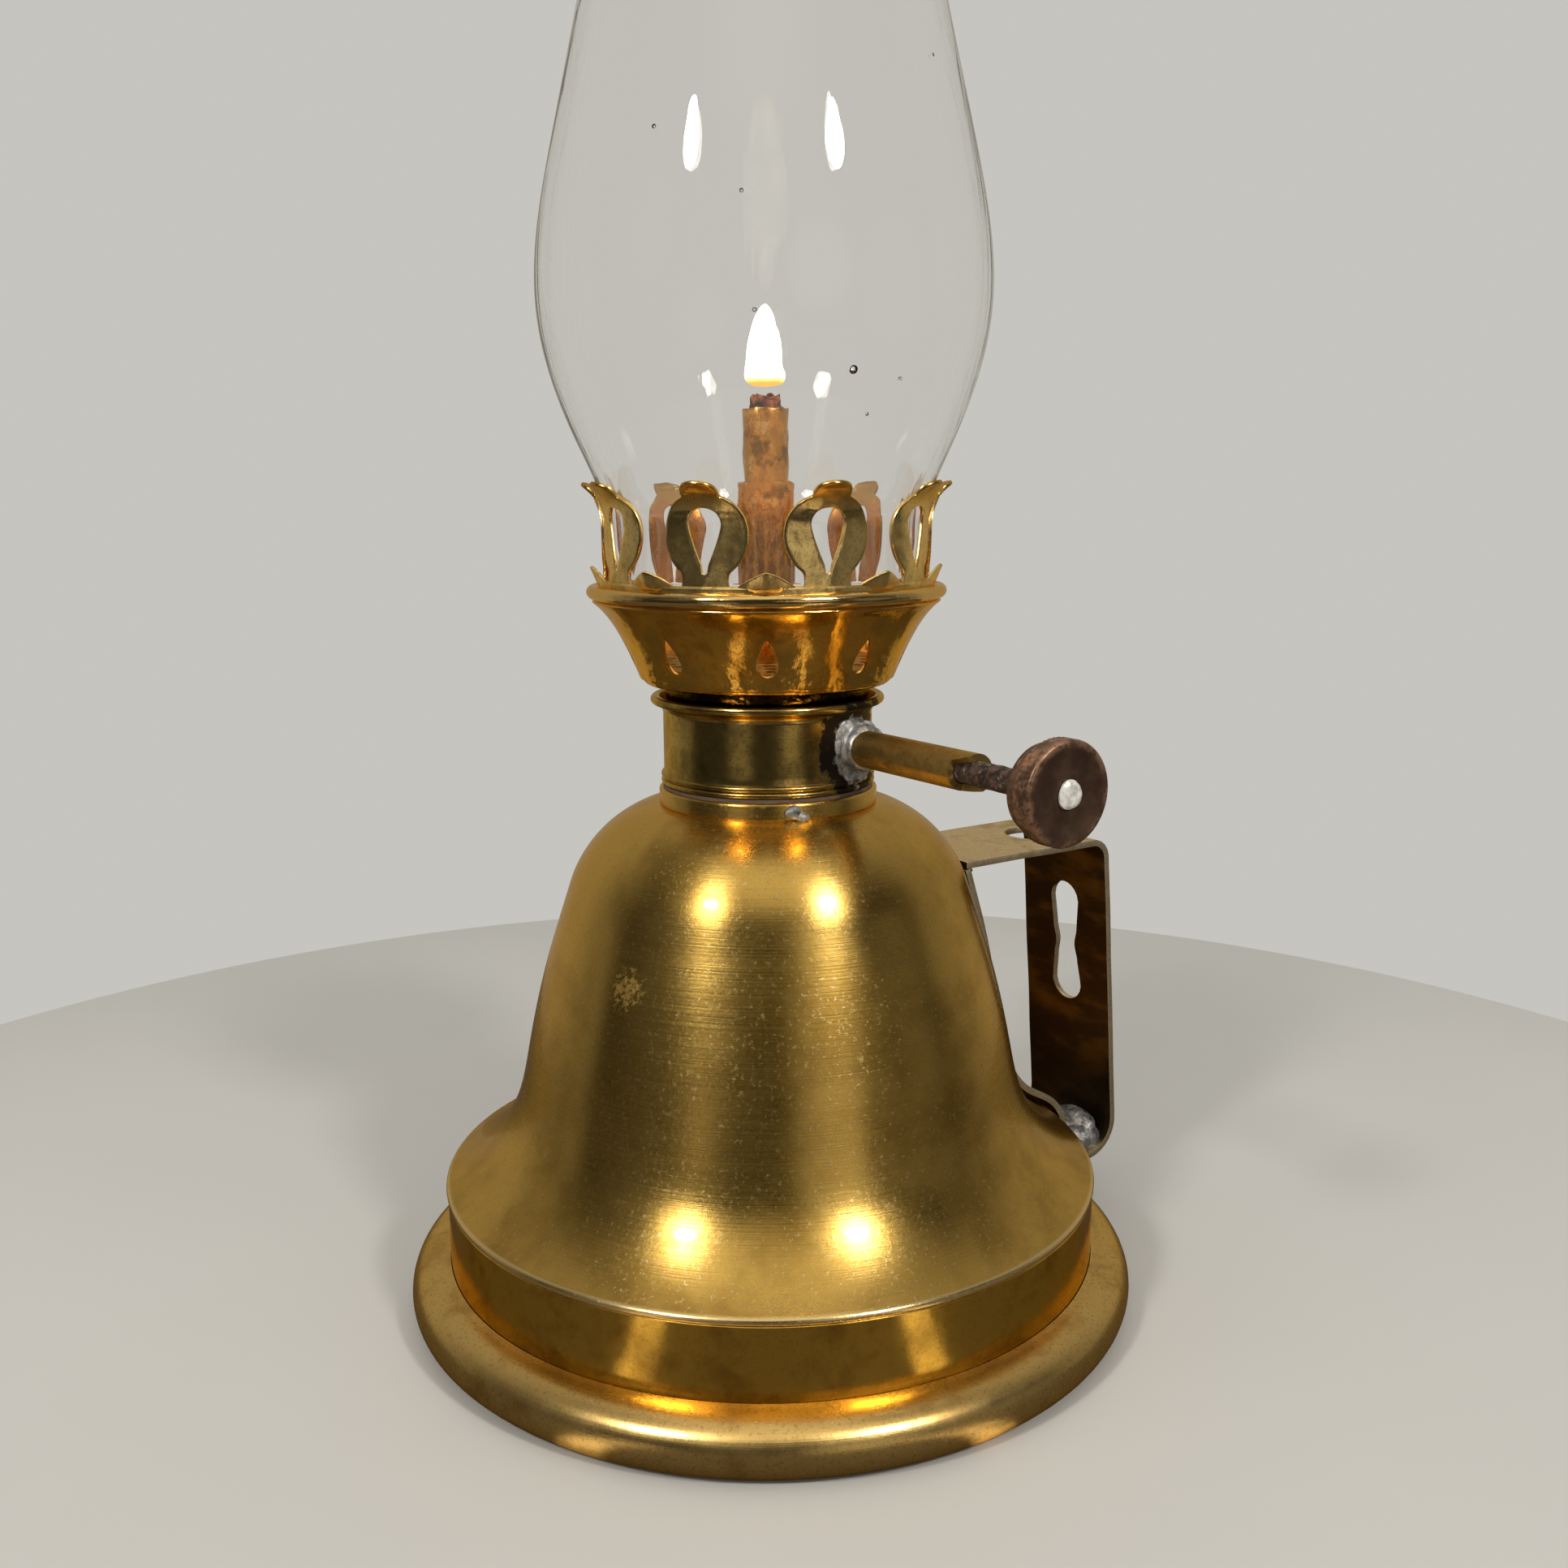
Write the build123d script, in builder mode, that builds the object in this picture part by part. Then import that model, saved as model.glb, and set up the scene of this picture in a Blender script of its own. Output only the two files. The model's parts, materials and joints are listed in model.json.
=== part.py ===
from build123d import *
from math import cos, radians, sin
import os

# A small brass finger lamp that burns lamp oil through a round wick. A bell-shaped font stands
# on a banded foot and carries a strap handle; a burner with a side winder screws into its
# collar, and a pronged gallery on the burner holds the glass chimney.
#
# Millimetres, +Z up. The origin is on the lamp's axis, in the plane that the foot stands on.
# The handle points along +X and the wick winder along -Y.

# Sheet metal and fits
sheet = 0.8                     # wall of the font and the foot
burner_sheet = 0.65             # wall of the burner
gallery_sheet = 0.5             # wall of the gallery
fit = 0.08                      # radial clearance of a running fit
seam = 0.05                     # gap between two pieces that are soldered together

# Foot
foot_radius = 42.2              # lip of the bell
band_radius = 42.0
ring_widest = 47.0
ring_widest_height = 3.5
ring_contact_radius = 44.7      # circle that the lamp stands on
ring_top = 7.05
ring_top_radius = 43.0

# Bell-shaped font
floor_radius = band_radius - sheet - seam       # floor of the oil tank
lip_bottom = 16.2
lip_top = 17.2
bell_points = [                 # radius and height, from the lip to the shoulder
    (foot_radius, lip_top), (37.4, 20.1), (33.9, 24.4), (31.1, 34.0), (28.2, 46.0), (25.3, 55.0),
]
shoulder_end = (19.3, 63.0)     # where the shoulder's curve runs out into a shallow cone
seat_radius = 14.4
shoulder_top = 65.2
oil_mouth_radius = 12.75        # hole in the shoulder for the collar

# Collar and thread
collar_radius = 13.75
collar_top = 67.3
collar_bottom = 61.9
thread_radius = 11.72           # crest of the burner's thread
thread_length = 6.0
gasket_thickness = 0.4

# Burner
burner_bottom = collar_top + gasket_thickness
burner_radius = 13.1
burner_bead = 0.35              # how far the foot beads stand proud
burner_flare_bottom = 76.8
burner_rim_radius = 14.65
burner_top = 78.9
bore = burner_radius - burner_sheet
deck_thickness = 0.6
breather_x = -7.5

# Wick and its tube
wick_radius = 2.4
wick_bottom = 27.0
wick_top = 115.2
tube_radius = 2.85
tube_bore = 2.5
tube_bottom = 60.0
tube_top = 113.7
sleeve_radius = 3.5
sleeve_bottom = 76.3
sleeve_top = 105.0

# Winder
winder_x = 4.6                  # the shaft passes beside the wick
winder_height = 73.2
shaft_radius = 1.35
winder_tube_radius = 2.25
winder_tube_end = 35.0          # how far the tube's long side reaches from the axis
winder_tube_notch = 2.4         # length of the cut on its near side
winder_solder_radius = 4.1      # of the solder on the can
winder_solder_end = 14.6        # how far it runs out along the tube
spur_radius = 2.1
spur_root = 1.75
spur_width = 2.2
spur_teeth = 10
knob_back_radius = 5.0
knob_front_radius = 5.7
knob_back_face = 44.8           # distances from the axis
knob_step = 46.8
knob_front_face = 49.3
rivet_radius = 1.55
rivet_height = 0.5
milling_count = 56
milling_radius = 0.2

# Gallery
gallery_count = 9               # prongs, and as many vents and folded tabs
gallery_pitch = 360 / gallery_count
prong_angle = 17.0              # first prong, from +X
vent_angle = prong_angle + gallery_pitch / 2
gallery_rim_radius = 22.2
gallery_rim_height = 91.7
gallery_rim_bead = 0.8
plug_bottom = 76.2
plug_clearance = 0.1
plug_radius = bore - plug_clearance
bead_radius = gallery_rim_radius - gallery_rim_bead     # middle of the rolled rim
shelf_top = 92.9                # the chimney stands on this shelf
prong_radius = 19.75            # inner face of the prongs
prong_curl_radius = 22.9
prong_curl_bottom = 100.6
prong_top = 104.3
prong_foot_width = 5.4
prong_width = 9.8               # at its widest place
prong_widest = 98.7
prong_lobe_radius = 2.5
prong_hole_width = 3.8
prong_hole_height = 7.2
prong_hole_centre = 98.5
tab_width = 7.0
tab_height = 1.9
tab_peak = 1.0                  # width of its blunt tip
strip_top = 93.3                # solid strip under the prongs and tabs
vent_width = 2.4
vent_height = 4.5
vent_centre = 84.9
neck_radius = 12.8              # of the bowl, just above the burner's rim
bowl_foot = 80.3                # underside of the bowl
bowl_points = [(17.4, 85.2), (bead_radius, 90.7)]
screen_height = 82.4
screen_radius = 15.6
screen_hole_radius = 0.9
screen_rings = [(6.6, 12), (9.6, 18), (12.6, 24)]     # radius and number of holes

# Chimney
glass_wall = 1.3
glass_bottom = 93.0
glass_top = 240.0
fitter_radius = 19.4
flue_radius = 13.5
glass_points = [                # radius and height, from the fitter to the flue
    (fitter_radius, 99.0), (22.6, 109.0), (27.1, 124.5), (24.5, 145.0), (18.3, 173.0),
    (flue_radius, 208.0),
]

# Handle: one strap bent into a closed loop
strap_width = 17.0
strap = 0.9
arm_top = 55.0
plate_top_x = 52.3              # outer face of the upright plate, at the arm
plate_foot_x = 55.4             # and at the curl
plate_corner_radius = 2.6
curl_radius = 5.2               # outer face
curl_bottom = 7.0
strap_gap = 0.1                 # between the strap and the bell
slot_top = 46.9
slot_bottom = 28.6
slot_upper_radius = 2.8         # outer ends of the slot's two lobes
slot_lower_radius = 2.95
slot_neck_radius = 2.3          # inner ends of the lobes
slot_upper_length = 9.0
slot_lower_length = 8.7
slot_waist = 3.8
arm_root_x = 25.9               # where the arm meets the bell
arm_hole_radius = 4.0
arm_hole_x = 45.5

os.makedirs("parts", exist_ok=True)


def radial_plane(angle, height):
    """A plane through the axis that faces outwards at an angle from +X, with its Y axis up."""
    outward = (cos(radians(angle)), sin(radians(angle)), 0)
    sideways = (-sin(radians(angle)), cos(radians(angle)), 0)
    return Plane(origin=(0, 0, height), x_dir=sideways, z_dir=outward)


def winder_plane(distance):
    """A plane across the winder's axis, facing the knob, at a distance from the lamp's axis."""
    return Plane(origin=(winder_x, -distance, winder_height), x_dir=(1, 0, 0), z_dir=(0, -1, 0))


def teardrop(width, height, tip_radius=0.2):
    """A drop of this size about the origin, round at its foot and pointed at its top."""
    with BuildSketch() as drop:
        with Locations((0, (width - height) / 2)):
            Circle(width / 2)
        with Locations((0, height / 2 - tip_radius)):
            Circle(tip_radius)
        make_hull()
    return drop.sketch


def beside(curve, distance, places):
    """Points at a distance to the left of a curve in the XY plane, for the other face of its wall."""
    points = []
    for place in places:
        start, along = curve @ place, curve % place
        points.append((start.X - along.Y * distance, start.Y + along.X * distance))
    return points


# Places along a curve where its other face is worked out
wall_places = [step / 12 for step in range(13)]

# ---------------------------------------------------------------- foot

# Hollow half-round moulding that the lamp stands on.
with BuildPart() as foot_ring:
    with BuildSketch(Plane.XZ):
        with BuildLine():
            roll = ThreePointArc(
                (ring_contact_radius, 0), (ring_widest, ring_widest_height), (ring_top_radius, ring_top)
            )
            Line(roll @ 1, (band_radius + seam, ring_top + 0.2))
            offset(amount=sheet, side=Side.LEFT)
        make_face()
    revolve(axis=Axis.Z)
foot_ring.part.label = "foot_ring"
export_step(foot_ring.part, "parts/foot_ring.step")

# Plain band between the ring and the bell.
with BuildPart() as foot_band:
    with BuildSketch(Plane.XY.offset(ring_top)):
        Circle(band_radius)
        Circle(band_radius - sheet, mode=Mode.SUBTRACT)
    extrude(amount=lip_bottom - ring_top)
foot_band.part.label = "foot_band"
export_step(foot_band.part, "parts/foot_band.step")

# Flat disc let into the underside of the ring.
with BuildPart() as base_plate:
    with BuildSketch(Plane.XY):
        Circle(ring_contact_radius - sheet - seam)
    extrude(amount=sheet)
base_plate.part.label = "base_plate"
export_step(base_plate.part, "parts/base_plate.step")

# ---------------------------------------------------------------- font

# Spun bell: a lip, a flared wall, a round shoulder and a flat seat for the collar.
with BuildPart() as font_shell:
    with BuildSketch(Plane.XZ):
        with BuildLine():
            bell = Spline(*bell_points, tangents=[(-1, 0.45), (-0.32, 1)])
            shoulder = TangentArc(bell @ 1, shoulder_end, tangent=bell % 1)
            lining = Spline(*beside(bell, sheet, wall_places), tangents=[bell % 0, bell % 1])
            shoulder_lining = ThreePointArc(*beside(shoulder, sheet, (0, 0.5, 1)))
            Polyline(
                shoulder @ 1,
                (seat_radius, shoulder_top),
                (oil_mouth_radius, shoulder_top),
                (oil_mouth_radius, shoulder_top - sheet),
                (seat_radius, shoulder_top - sheet),
                shoulder_lining @ 1,
            )
            Polyline(
                bell @ 0,
                (foot_radius, lip_bottom),
                ((lining @ 0).X, lip_bottom),
                lining @ 0,
            )
        make_face()
    revolve(axis=Axis.Z)
font_shell.part.label = "font_shell"
export_step(font_shell.part, "parts/font_shell.step")

# Dished floor that closes the oil tank, soldered inside the lip.
with BuildPart() as font_floor:
    with BuildSketch(Plane.XY.offset(lip_bottom - sheet)):
        Circle(floor_radius)
    extrude(amount=sheet)
    with BuildSketch(Plane.XY.offset(lip_bottom - sheet)):
        Circle(floor_radius)
        Circle(floor_radius - sheet, mode=Mode.SUBTRACT)
    extrude(amount=-3.0)
font_floor.part.label = "font_floor"
export_step(font_floor.part, "parts/font_floor.step")

# Threaded collar: a sleeve through the shoulder with a rim that sits on it.
with BuildPart() as font_collar:
    with BuildSketch(Plane.XY.offset(collar_bottom)):
        Circle(oil_mouth_radius - seam)
    extrude(amount=collar_top - collar_bottom)
    with BuildSketch(Plane.XY.offset(shoulder_top)):
        Circle(collar_radius)
    extrude(amount=collar_top - shoulder_top)
    fillet(font_collar.edges().filter_by(GeomType.CIRCLE).group_by(Axis.Z)[-1], 0.4)
    with BuildSketch(Plane.XY.offset(collar_bottom)):
        Circle(thread_radius + fit)
    extrude(amount=collar_top - collar_bottom, mode=Mode.SUBTRACT)
font_collar.part.label = "font_collar"
export_step(font_collar.part, "parts/font_collar.step")

# ---------------------------------------------------------------- handle

# The strap's middle line: out along the arm, down the plate, round the curl, over the lip
# and up the wall of the bell to the arm again.
strap_offset = strap_gap + strap / 2
arm_height = arm_top - strap / 2
plate_line_top = (plate_top_x - strap / 2, arm_height)
curl_height = curl_bottom + curl_radius
plate_line_foot = (plate_foot_x - strap / 2, curl_height)
wall_run = beside(bell, -strap_offset, (0.0, 0.12, 0.26, 0.44, 0.64, 0.82, 0.97))

with BuildPart() as handle_strap:
    with BuildSketch(Plane.XZ):
        with BuildLine():
            grip = FilletPolyline(
                (arm_root_x, arm_height), plate_line_top, plate_line_foot, radius=plate_corner_radius
            )
            curl = JernArc(grip @ 1, grip % 1, curl_radius - strap / 2, -180)
        trace(line_width=strap)
        with BuildLine(mode=Mode.PRIVATE):
            climb = Spline(curl @ 1, curl @ 1 + (curl % 1) * 1.2, (44.6, 15.0), *wall_run)
        with BuildLine():
            near = Spline(*beside(climb, -strap / 2, wall_places))
            far = Spline(*beside(climb, strap / 2, wall_places))
            Line(near @ 0, far @ 0)
            Line(near @ 1, far @ 1)
        make_face()
    extrude(amount=strap_width / 2, both=True)
    with BuildSketch(Plane.YZ.offset(plate_top_x - 3)):
        with Locations((0, slot_top - slot_upper_radius)):
            Circle(slot_upper_radius)
        with Locations((0, slot_top - slot_upper_length + slot_neck_radius)):
            Circle(slot_neck_radius)
        make_hull()
    extrude(amount=8, mode=Mode.SUBTRACT)
    with BuildSketch(Plane.YZ.offset(plate_top_x - 3)):
        with Locations((0, slot_bottom + slot_lower_radius)):
            Circle(slot_lower_radius)
        with Locations((0, slot_bottom + slot_lower_length - slot_neck_radius)):
            Circle(slot_neck_radius)
        make_hull()
    extrude(amount=8, mode=Mode.SUBTRACT)
    with BuildSketch(Plane.YZ.offset(plate_top_x - 3)):
        with Locations((0, (slot_top + slot_bottom) / 2)):
            Rectangle(slot_waist, slot_top - slot_bottom - 2 * slot_lower_radius)
    extrude(amount=8, mode=Mode.SUBTRACT)
    with BuildSketch(Plane.XY.offset(arm_top - 2)):
        with Locations((arm_hole_x, 0)):
            Circle(arm_hole_radius)
    extrude(amount=4, mode=Mode.SUBTRACT)
handle_strap.part.label = "handle_strap"
export_step(handle_strap.part, "parts/handle_strap.step")

# Solder that fills the curl and ties the strap to the lip.
with BuildPart() as handle_foot_solder:
    with BuildSketch(Plane.XZ):
        with Locations((curl.arc_center.X, curl.arc_center.Y)):
            Circle(curl_radius - strap - seam)
        with Locations((curl.arc_center.X, curl.arc_center.Y + curl_radius + 0.8)):
            Rectangle(2 * curl_radius, 2 * curl_radius, mode=Mode.SUBTRACT)
    extrude(amount=strap_width / 2 - 0.6, both=True)
handle_foot_solder.part.label = "handle_foot_solder"
export_step(handle_foot_solder.part, "parts/handle_foot_solder.step")

# Bead of solder in the corner under the arm, where the strap's two ends meet on the bell.
with BuildPart() as handle_root_solder:
    root_x = wall_run[-1][0] + strap / 2
    with BuildSketch(Plane.XZ):
        with BuildLine():
            Polyline(
                (root_x + seam, arm_top - strap - seam),
                (root_x + 2.2, arm_top - strap - seam),
                (root_x + 1.2, arm_top - strap - 1.8),
                close=True,
            )
        make_face()
    extrude(amount=strap_width / 2 - 1.5, both=True)
handle_root_solder.part.label = "handle_root_solder"
export_step(handle_root_solder.part, "parts/handle_root_solder.step")

# ---------------------------------------------------------------- burner

# Fibre washer that the burner is screwed down on.
with BuildPart() as collar_gasket:
    with BuildSketch(Plane.XY.offset(collar_top)):
        Circle(collar_radius - 0.5)
        Circle(thread_radius + 0.3, mode=Mode.SUBTRACT)
    extrude(amount=gasket_thickness)
collar_gasket.part.label = "collar_gasket"
export_step(collar_gasket.part, "parts/collar_gasket.step")

# Spun can with two beads at its foot and a flared, rolled rim; the winder tube enters its side.
with BuildPart() as burner_base:
    with BuildSketch(Plane.XZ):
        with BuildLine():
            floor = Line((thread_radius + seam, burner_bottom), (burner_radius, burner_bottom))
            low = ThreePointArc(
                floor @ 1,
                (burner_radius + burner_bead, burner_bottom + burner_bead),
                (burner_radius, burner_bottom + 2 * burner_bead),
            )
            high = ThreePointArc(
                low @ 1,
                (burner_radius + burner_bead, burner_bottom + 3 * burner_bead),
                (burner_radius, burner_bottom + 4 * burner_bead),
            )
            wall = Line(high @ 1, (burner_radius, burner_flare_bottom))
            flare = TangentArc(wall @ 1, (burner_rim_radius - 0.5, burner_top - 1.1), tangent=(0, 1))
            rim = ThreePointArc(
                flare @ 1,
                (burner_rim_radius, burner_top - 0.55),
                (burner_rim_radius - 0.5, burner_top),
            )
            Polyline(
                rim @ 1,
                (burner_rim_radius - 1.0, burner_top),
                (bore, burner_flare_bottom + 0.3),
                (bore, burner_bottom + burner_sheet),
                (thread_radius + seam, burner_bottom + burner_sheet),
                floor @ 0,
            )
        make_face()
    revolve(axis=Axis.Z)
    with BuildSketch(winder_plane(burner_radius - 4)):
        Circle(winder_tube_radius + seam)
    extrude(amount=8, mode=Mode.SUBTRACT)
burner_base.part.label = "burner_base"
export_step(burner_base.part, "parts/burner_base.step")

# Skirt that screws into the collar.
with BuildPart() as burner_thread:
    with BuildSketch(Plane.XY.offset(burner_bottom + burner_sheet)):
        Circle(thread_radius)
        Circle(thread_radius - burner_sheet, mode=Mode.SUBTRACT)
    extrude(amount=-thread_length)
burner_thread.part.label = "burner_thread"
export_step(burner_thread.part, "parts/burner_thread.step")

# Disc inside the can that holds the wick tube, with a breathing hole beside it.
with BuildPart() as burner_deck:
    with BuildSketch(Plane.XY.offset(burner_bottom + burner_sheet)):
        Circle(bore - seam)
        Circle(tube_radius + seam, mode=Mode.SUBTRACT)
        with Locations((breather_x, 0)):
            Circle(0.8, mode=Mode.SUBTRACT)
    extrude(amount=deck_thickness)
burner_deck.part.label = "burner_deck"
export_step(burner_deck.part, "parts/burner_deck.step")

# Wick tube with a window in its side for the spur wheel.
with BuildPart() as wick_tube:
    with BuildSketch(Plane.XY.offset(tube_bottom)):
        Circle(tube_radius)
        Circle(tube_bore, mode=Mode.SUBTRACT)
    extrude(amount=tube_top - tube_bottom)
    with BuildSketch(Plane.YZ.offset(1.4)):
        with Locations((0, winder_height)):
            Rectangle(spur_width + 0.6, 2 * spur_radius - 0.8)
    extrude(amount=2, mode=Mode.SUBTRACT)
wick_tube.part.label = "wick_tube"
export_step(wick_tube.part, "parts/wick_tube.step")

# Sleeve that stiffens the tube above the winder.
with BuildPart() as wick_tube_sleeve:
    with BuildSketch(Plane.XY.offset(sleeve_bottom)):
        Circle(sleeve_radius)
        Circle(tube_radius + seam, mode=Mode.SUBTRACT)
    extrude(amount=sleeve_top - sleeve_bottom)
wick_tube_sleeve.part.label = "wick_tube_sleeve"
export_step(wick_tube_sleeve.part, "parts/wick_tube_sleeve.step")

# Tube that carries the winder shaft, cut away on one side of its outer end.
with BuildPart() as winder_tube:
    tube_inner_end = bore - 0.9
    with BuildSketch(winder_plane(tube_inner_end)):
        Circle(winder_tube_radius)
        Circle(shaft_radius + fit, mode=Mode.SUBTRACT)
    extrude(amount=winder_tube_end - tube_inner_end)
    with BuildSketch(winder_plane(winder_tube_end - winder_tube_notch)):
        with Locations((-2.2, -1.9)):
            Rectangle(4, 5, rotation=-20)
    extrude(amount=winder_tube_notch + 1, mode=Mode.SUBTRACT)
winder_tube.part.label = "winder_tube"
export_step(winder_tube.part, "parts/winder_tube.step")

# Collar of solder around the tube's root, on the outside of the can.
with BuildPart() as winder_solder:
    with BuildSketch(winder_plane(11.0)):
        Circle(winder_solder_radius)
    with BuildSketch(winder_plane(winder_solder_end)):
        Circle(winder_tube_radius + 0.35)
    loft()
    with BuildSketch(Plane.XY.offset(burner_bottom)):
        Circle(burner_radius + seam)
    extrude(amount=burner_top - burner_bottom, mode=Mode.SUBTRACT)
    with BuildSketch(winder_plane(0)):
        Circle(winder_tube_radius + seam)
    extrude(amount=20, mode=Mode.SUBTRACT)
winder_solder.part.label = "winder_solder"
export_step(winder_solder.part, "parts/winder_solder.step")

# Bent bracket on the wick tube that carries the shaft's inner end, one cheek each side of
# the spur wheel.
with BuildPart() as spur_bracket:
    with BuildSketch(Plane.XZ):
        with Locations((winder_x - 0.2, winder_height)):
            Rectangle(7.2, 4.4)
    extrude(amount=spur_width / 2 + 1.0, both=True)
    with BuildSketch(Plane.XZ):
        with Locations((winder_x - 1.0, winder_height)):
            Rectangle(7.2, 5)
    extrude(amount=spur_width / 2 + 0.5, both=True, mode=Mode.SUBTRACT)
    with BuildSketch(Plane.XY.offset(winder_height - 4)):
        Circle(tube_radius + seam)
    extrude(amount=8, mode=Mode.SUBTRACT)
    with BuildSketch(winder_plane(-4)):
        Circle(shaft_radius + fit)
    extrude(amount=8, mode=Mode.SUBTRACT)
spur_bracket.part.label = "spur_bracket"
export_step(spur_bracket.part, "parts/spur_bracket.step")

# ---------------------------------------------------------------- wick and winder

# Braided cotton wick, hanging straight from the tube into the tank.
with BuildPart() as wick:
    with BuildSketch(Plane.XY.offset(wick_bottom)):
        Circle(wick_radius)
    extrude(amount=wick_top - wick_bottom)
    chamfer(wick.faces().sort_by(Axis.Z)[-1].edges(), 0.5)
wick.part.label = "wick"
export_step(wick.part, "parts/wick.step")

# Shaft from the bracket's far cheek to the knob.
with BuildPart() as winder_shaft:
    with BuildSketch(winder_plane(-spur_width / 2 - 2.0)):
        Circle(shaft_radius)
    extrude(amount=knob_front_face + spur_width / 2 + 2.0)
winder_shaft.part.label = "winder_shaft"
export_step(winder_shaft.part, "parts/winder_shaft.step")

# Pointed spur wheel that bites into the wick through the tube's window.
star = []
for corner in range(2 * spur_teeth):
    reach = spur_root if corner % 2 else spur_radius
    turn = radians(corner * 180 / spur_teeth)
    star.append((reach * cos(turn), reach * sin(turn)))

with BuildPart() as spur_wheel:
    with BuildSketch(winder_plane(-spur_width / 2)):
        Polygon(*star, align=None)
        Circle(shaft_radius, mode=Mode.SUBTRACT)
    extrude(amount=spur_width)
spur_wheel.part.label = "spur_wheel"
export_step(spur_wheel.part, "parts/spur_wheel.step")

# Small disc at the back of the knob, with a rounded back edge.
with BuildPart() as knob_back:
    with BuildSketch(winder_plane(knob_back_face)):
        Circle(knob_back_radius)
    extrude(amount=knob_step - knob_back_face)
    fillet(knob_back.faces().sort_by(Axis.Y)[-1].edges(), 0.7)
    with BuildSketch(winder_plane(knob_back_face)):
        Circle(shaft_radius)
    extrude(amount=knob_step - knob_back_face, mode=Mode.SUBTRACT)
knob_back.part.label = "knob_back"
export_step(knob_back.part, "parts/knob_back.step")

# Large disc with a milled edge.
with BuildPart() as knob_front:
    with BuildSketch(winder_plane(knob_step)):
        Circle(knob_front_radius)
    extrude(amount=knob_front_face - knob_step)
    chamfer(knob_front.edges().filter_by(GeomType.CIRCLE), 0.3)
    with BuildSketch(winder_plane(knob_step)):
        Circle(shaft_radius)
        with PolarLocations(knob_front_radius + 0.04, milling_count):
            Circle(milling_radius)
    extrude(amount=knob_front_face - knob_step, mode=Mode.SUBTRACT)
knob_front.part.label = "knob_front"
export_step(knob_front.part, "parts/knob_front.step")

# Peened end of the shaft that holds the discs.
with BuildPart() as knob_rivet:
    with BuildSketch(winder_plane(knob_front_face)):
        Circle(rivet_radius)
    extrude(amount=rivet_height)
    fillet(knob_rivet.faces().sort_by(Axis.Y)[0].edges(), 0.35)
knob_rivet.part.label = "knob_rivet"
export_step(knob_rivet.part, "parts/knob_rivet.step")

# ---------------------------------------------------------------- gallery

# Spun bowl: a plug that sits in the burner, a flared wall with vents and a rolled rim.
with BuildPart() as gallery_bowl:
    with BuildSketch(Plane.XZ):
        with BuildLine():
            neck = Polyline(
                (plug_radius, plug_bottom),
                (plug_radius, bowl_foot - 2.7),
                (neck_radius, bowl_foot - 1.1),
                (neck_radius, bowl_foot),
                (neck_radius + 2.0, bowl_foot),
            )
            heel = ThreePointArc(
                neck @ 1,
                (neck_radius + 2.55, bowl_foot + 0.25),
                (neck_radius + 2.8, bowl_foot + 0.8),
            )
            bowl = Spline(heel @ 1, *bowl_points, tangents=[(0.4, 1), (1, 0.75)])
            inside = Spline(*beside(bowl, gallery_sheet, wall_places), tangents=[bowl % 0, bowl % 1])
            Line(bowl @ 1, inside @ 1)
            Polyline(
                inside @ 0,
                (neck_radius + 2.0, bowl_foot + gallery_sheet),
                (neck_radius - gallery_sheet, bowl_foot + gallery_sheet),
                (neck_radius - gallery_sheet, bowl_foot - 1.0),
                (plug_radius - gallery_sheet, bowl_foot - 2.6),
                (plug_radius - gallery_sheet, plug_bottom),
                neck @ 0,
            )
        make_face()
        with Locations((bead_radius, gallery_rim_height)):
            Circle(gallery_rim_bead)
    revolve(axis=Axis.Z)
    for vent in range(gallery_count):
        with BuildSketch(radial_plane(vent_angle + vent * gallery_pitch, vent_centre)):
            add(teardrop(vent_width, vent_height))
        extrude(amount=25, mode=Mode.SUBTRACT)
gallery_bowl.part.label = "gallery_bowl"
export_step(gallery_bowl.part, "parts/gallery_bowl.step")

# Outlines of the prongs and tabs, as seen square on from outside.
with BuildPart() as crown_outline:
    for prong in range(gallery_count):
        with BuildSketch(radial_plane(prong_angle + prong * gallery_pitch, 0)):
            with Locations((0, prong_widest)):
                Circle(prong_width / 2)
            with Locations((0, strip_top)):
                Rectangle(prong_foot_width, 0.4)
            make_hull()
            with Locations((0, prong_top - prong_lobe_radius + 0.2)):
                Circle(prong_lobe_radius)
            with Locations((0, prong_hole_centre)):
                add(teardrop(prong_hole_width, prong_hole_height), rotation=180, mode=Mode.SUBTRACT)
        extrude(amount=30)
        with BuildSketch(radial_plane(vent_angle + prong * gallery_pitch, strip_top)):
            with BuildLine():
                Polyline(
                    (-tab_width / 2, -0.2),
                    (tab_width / 2, -0.2),
                    (tab_peak / 2, tab_height),
                    (-tab_peak / 2, tab_height),
                    close=True,
                )
            make_face()
        extrude(amount=30)
    with BuildSketch(Plane.XY.offset(gallery_rim_height - 1)):
        Circle(30)
    extrude(amount=strip_top - gallery_rim_height + 1)

# Pierced strip inside the rim: prongs that grip the chimney, curled out at their tips.
with BuildPart() as gallery_crown:
    with BuildSketch(Plane.XZ):
        with BuildLine():
            shelf = Line((prong_radius - 2.2, shelf_top), (prong_radius, shelf_top))
            stem = Line((prong_radius, shelf_top), (prong_radius, prong_curl_bottom))
            TangentArc(stem @ 1, (prong_curl_radius, prong_top), tangent=(0, 1))
            offset(amount=gallery_sheet, side=Side.RIGHT)
        make_face()
    revolve(axis=Axis.Z)
    add(crown_outline.part, mode=Mode.INTERSECT)
gallery_crown.part.label = "gallery_crown"
export_step(gallery_crown.part, "parts/gallery_crown.step")

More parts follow.
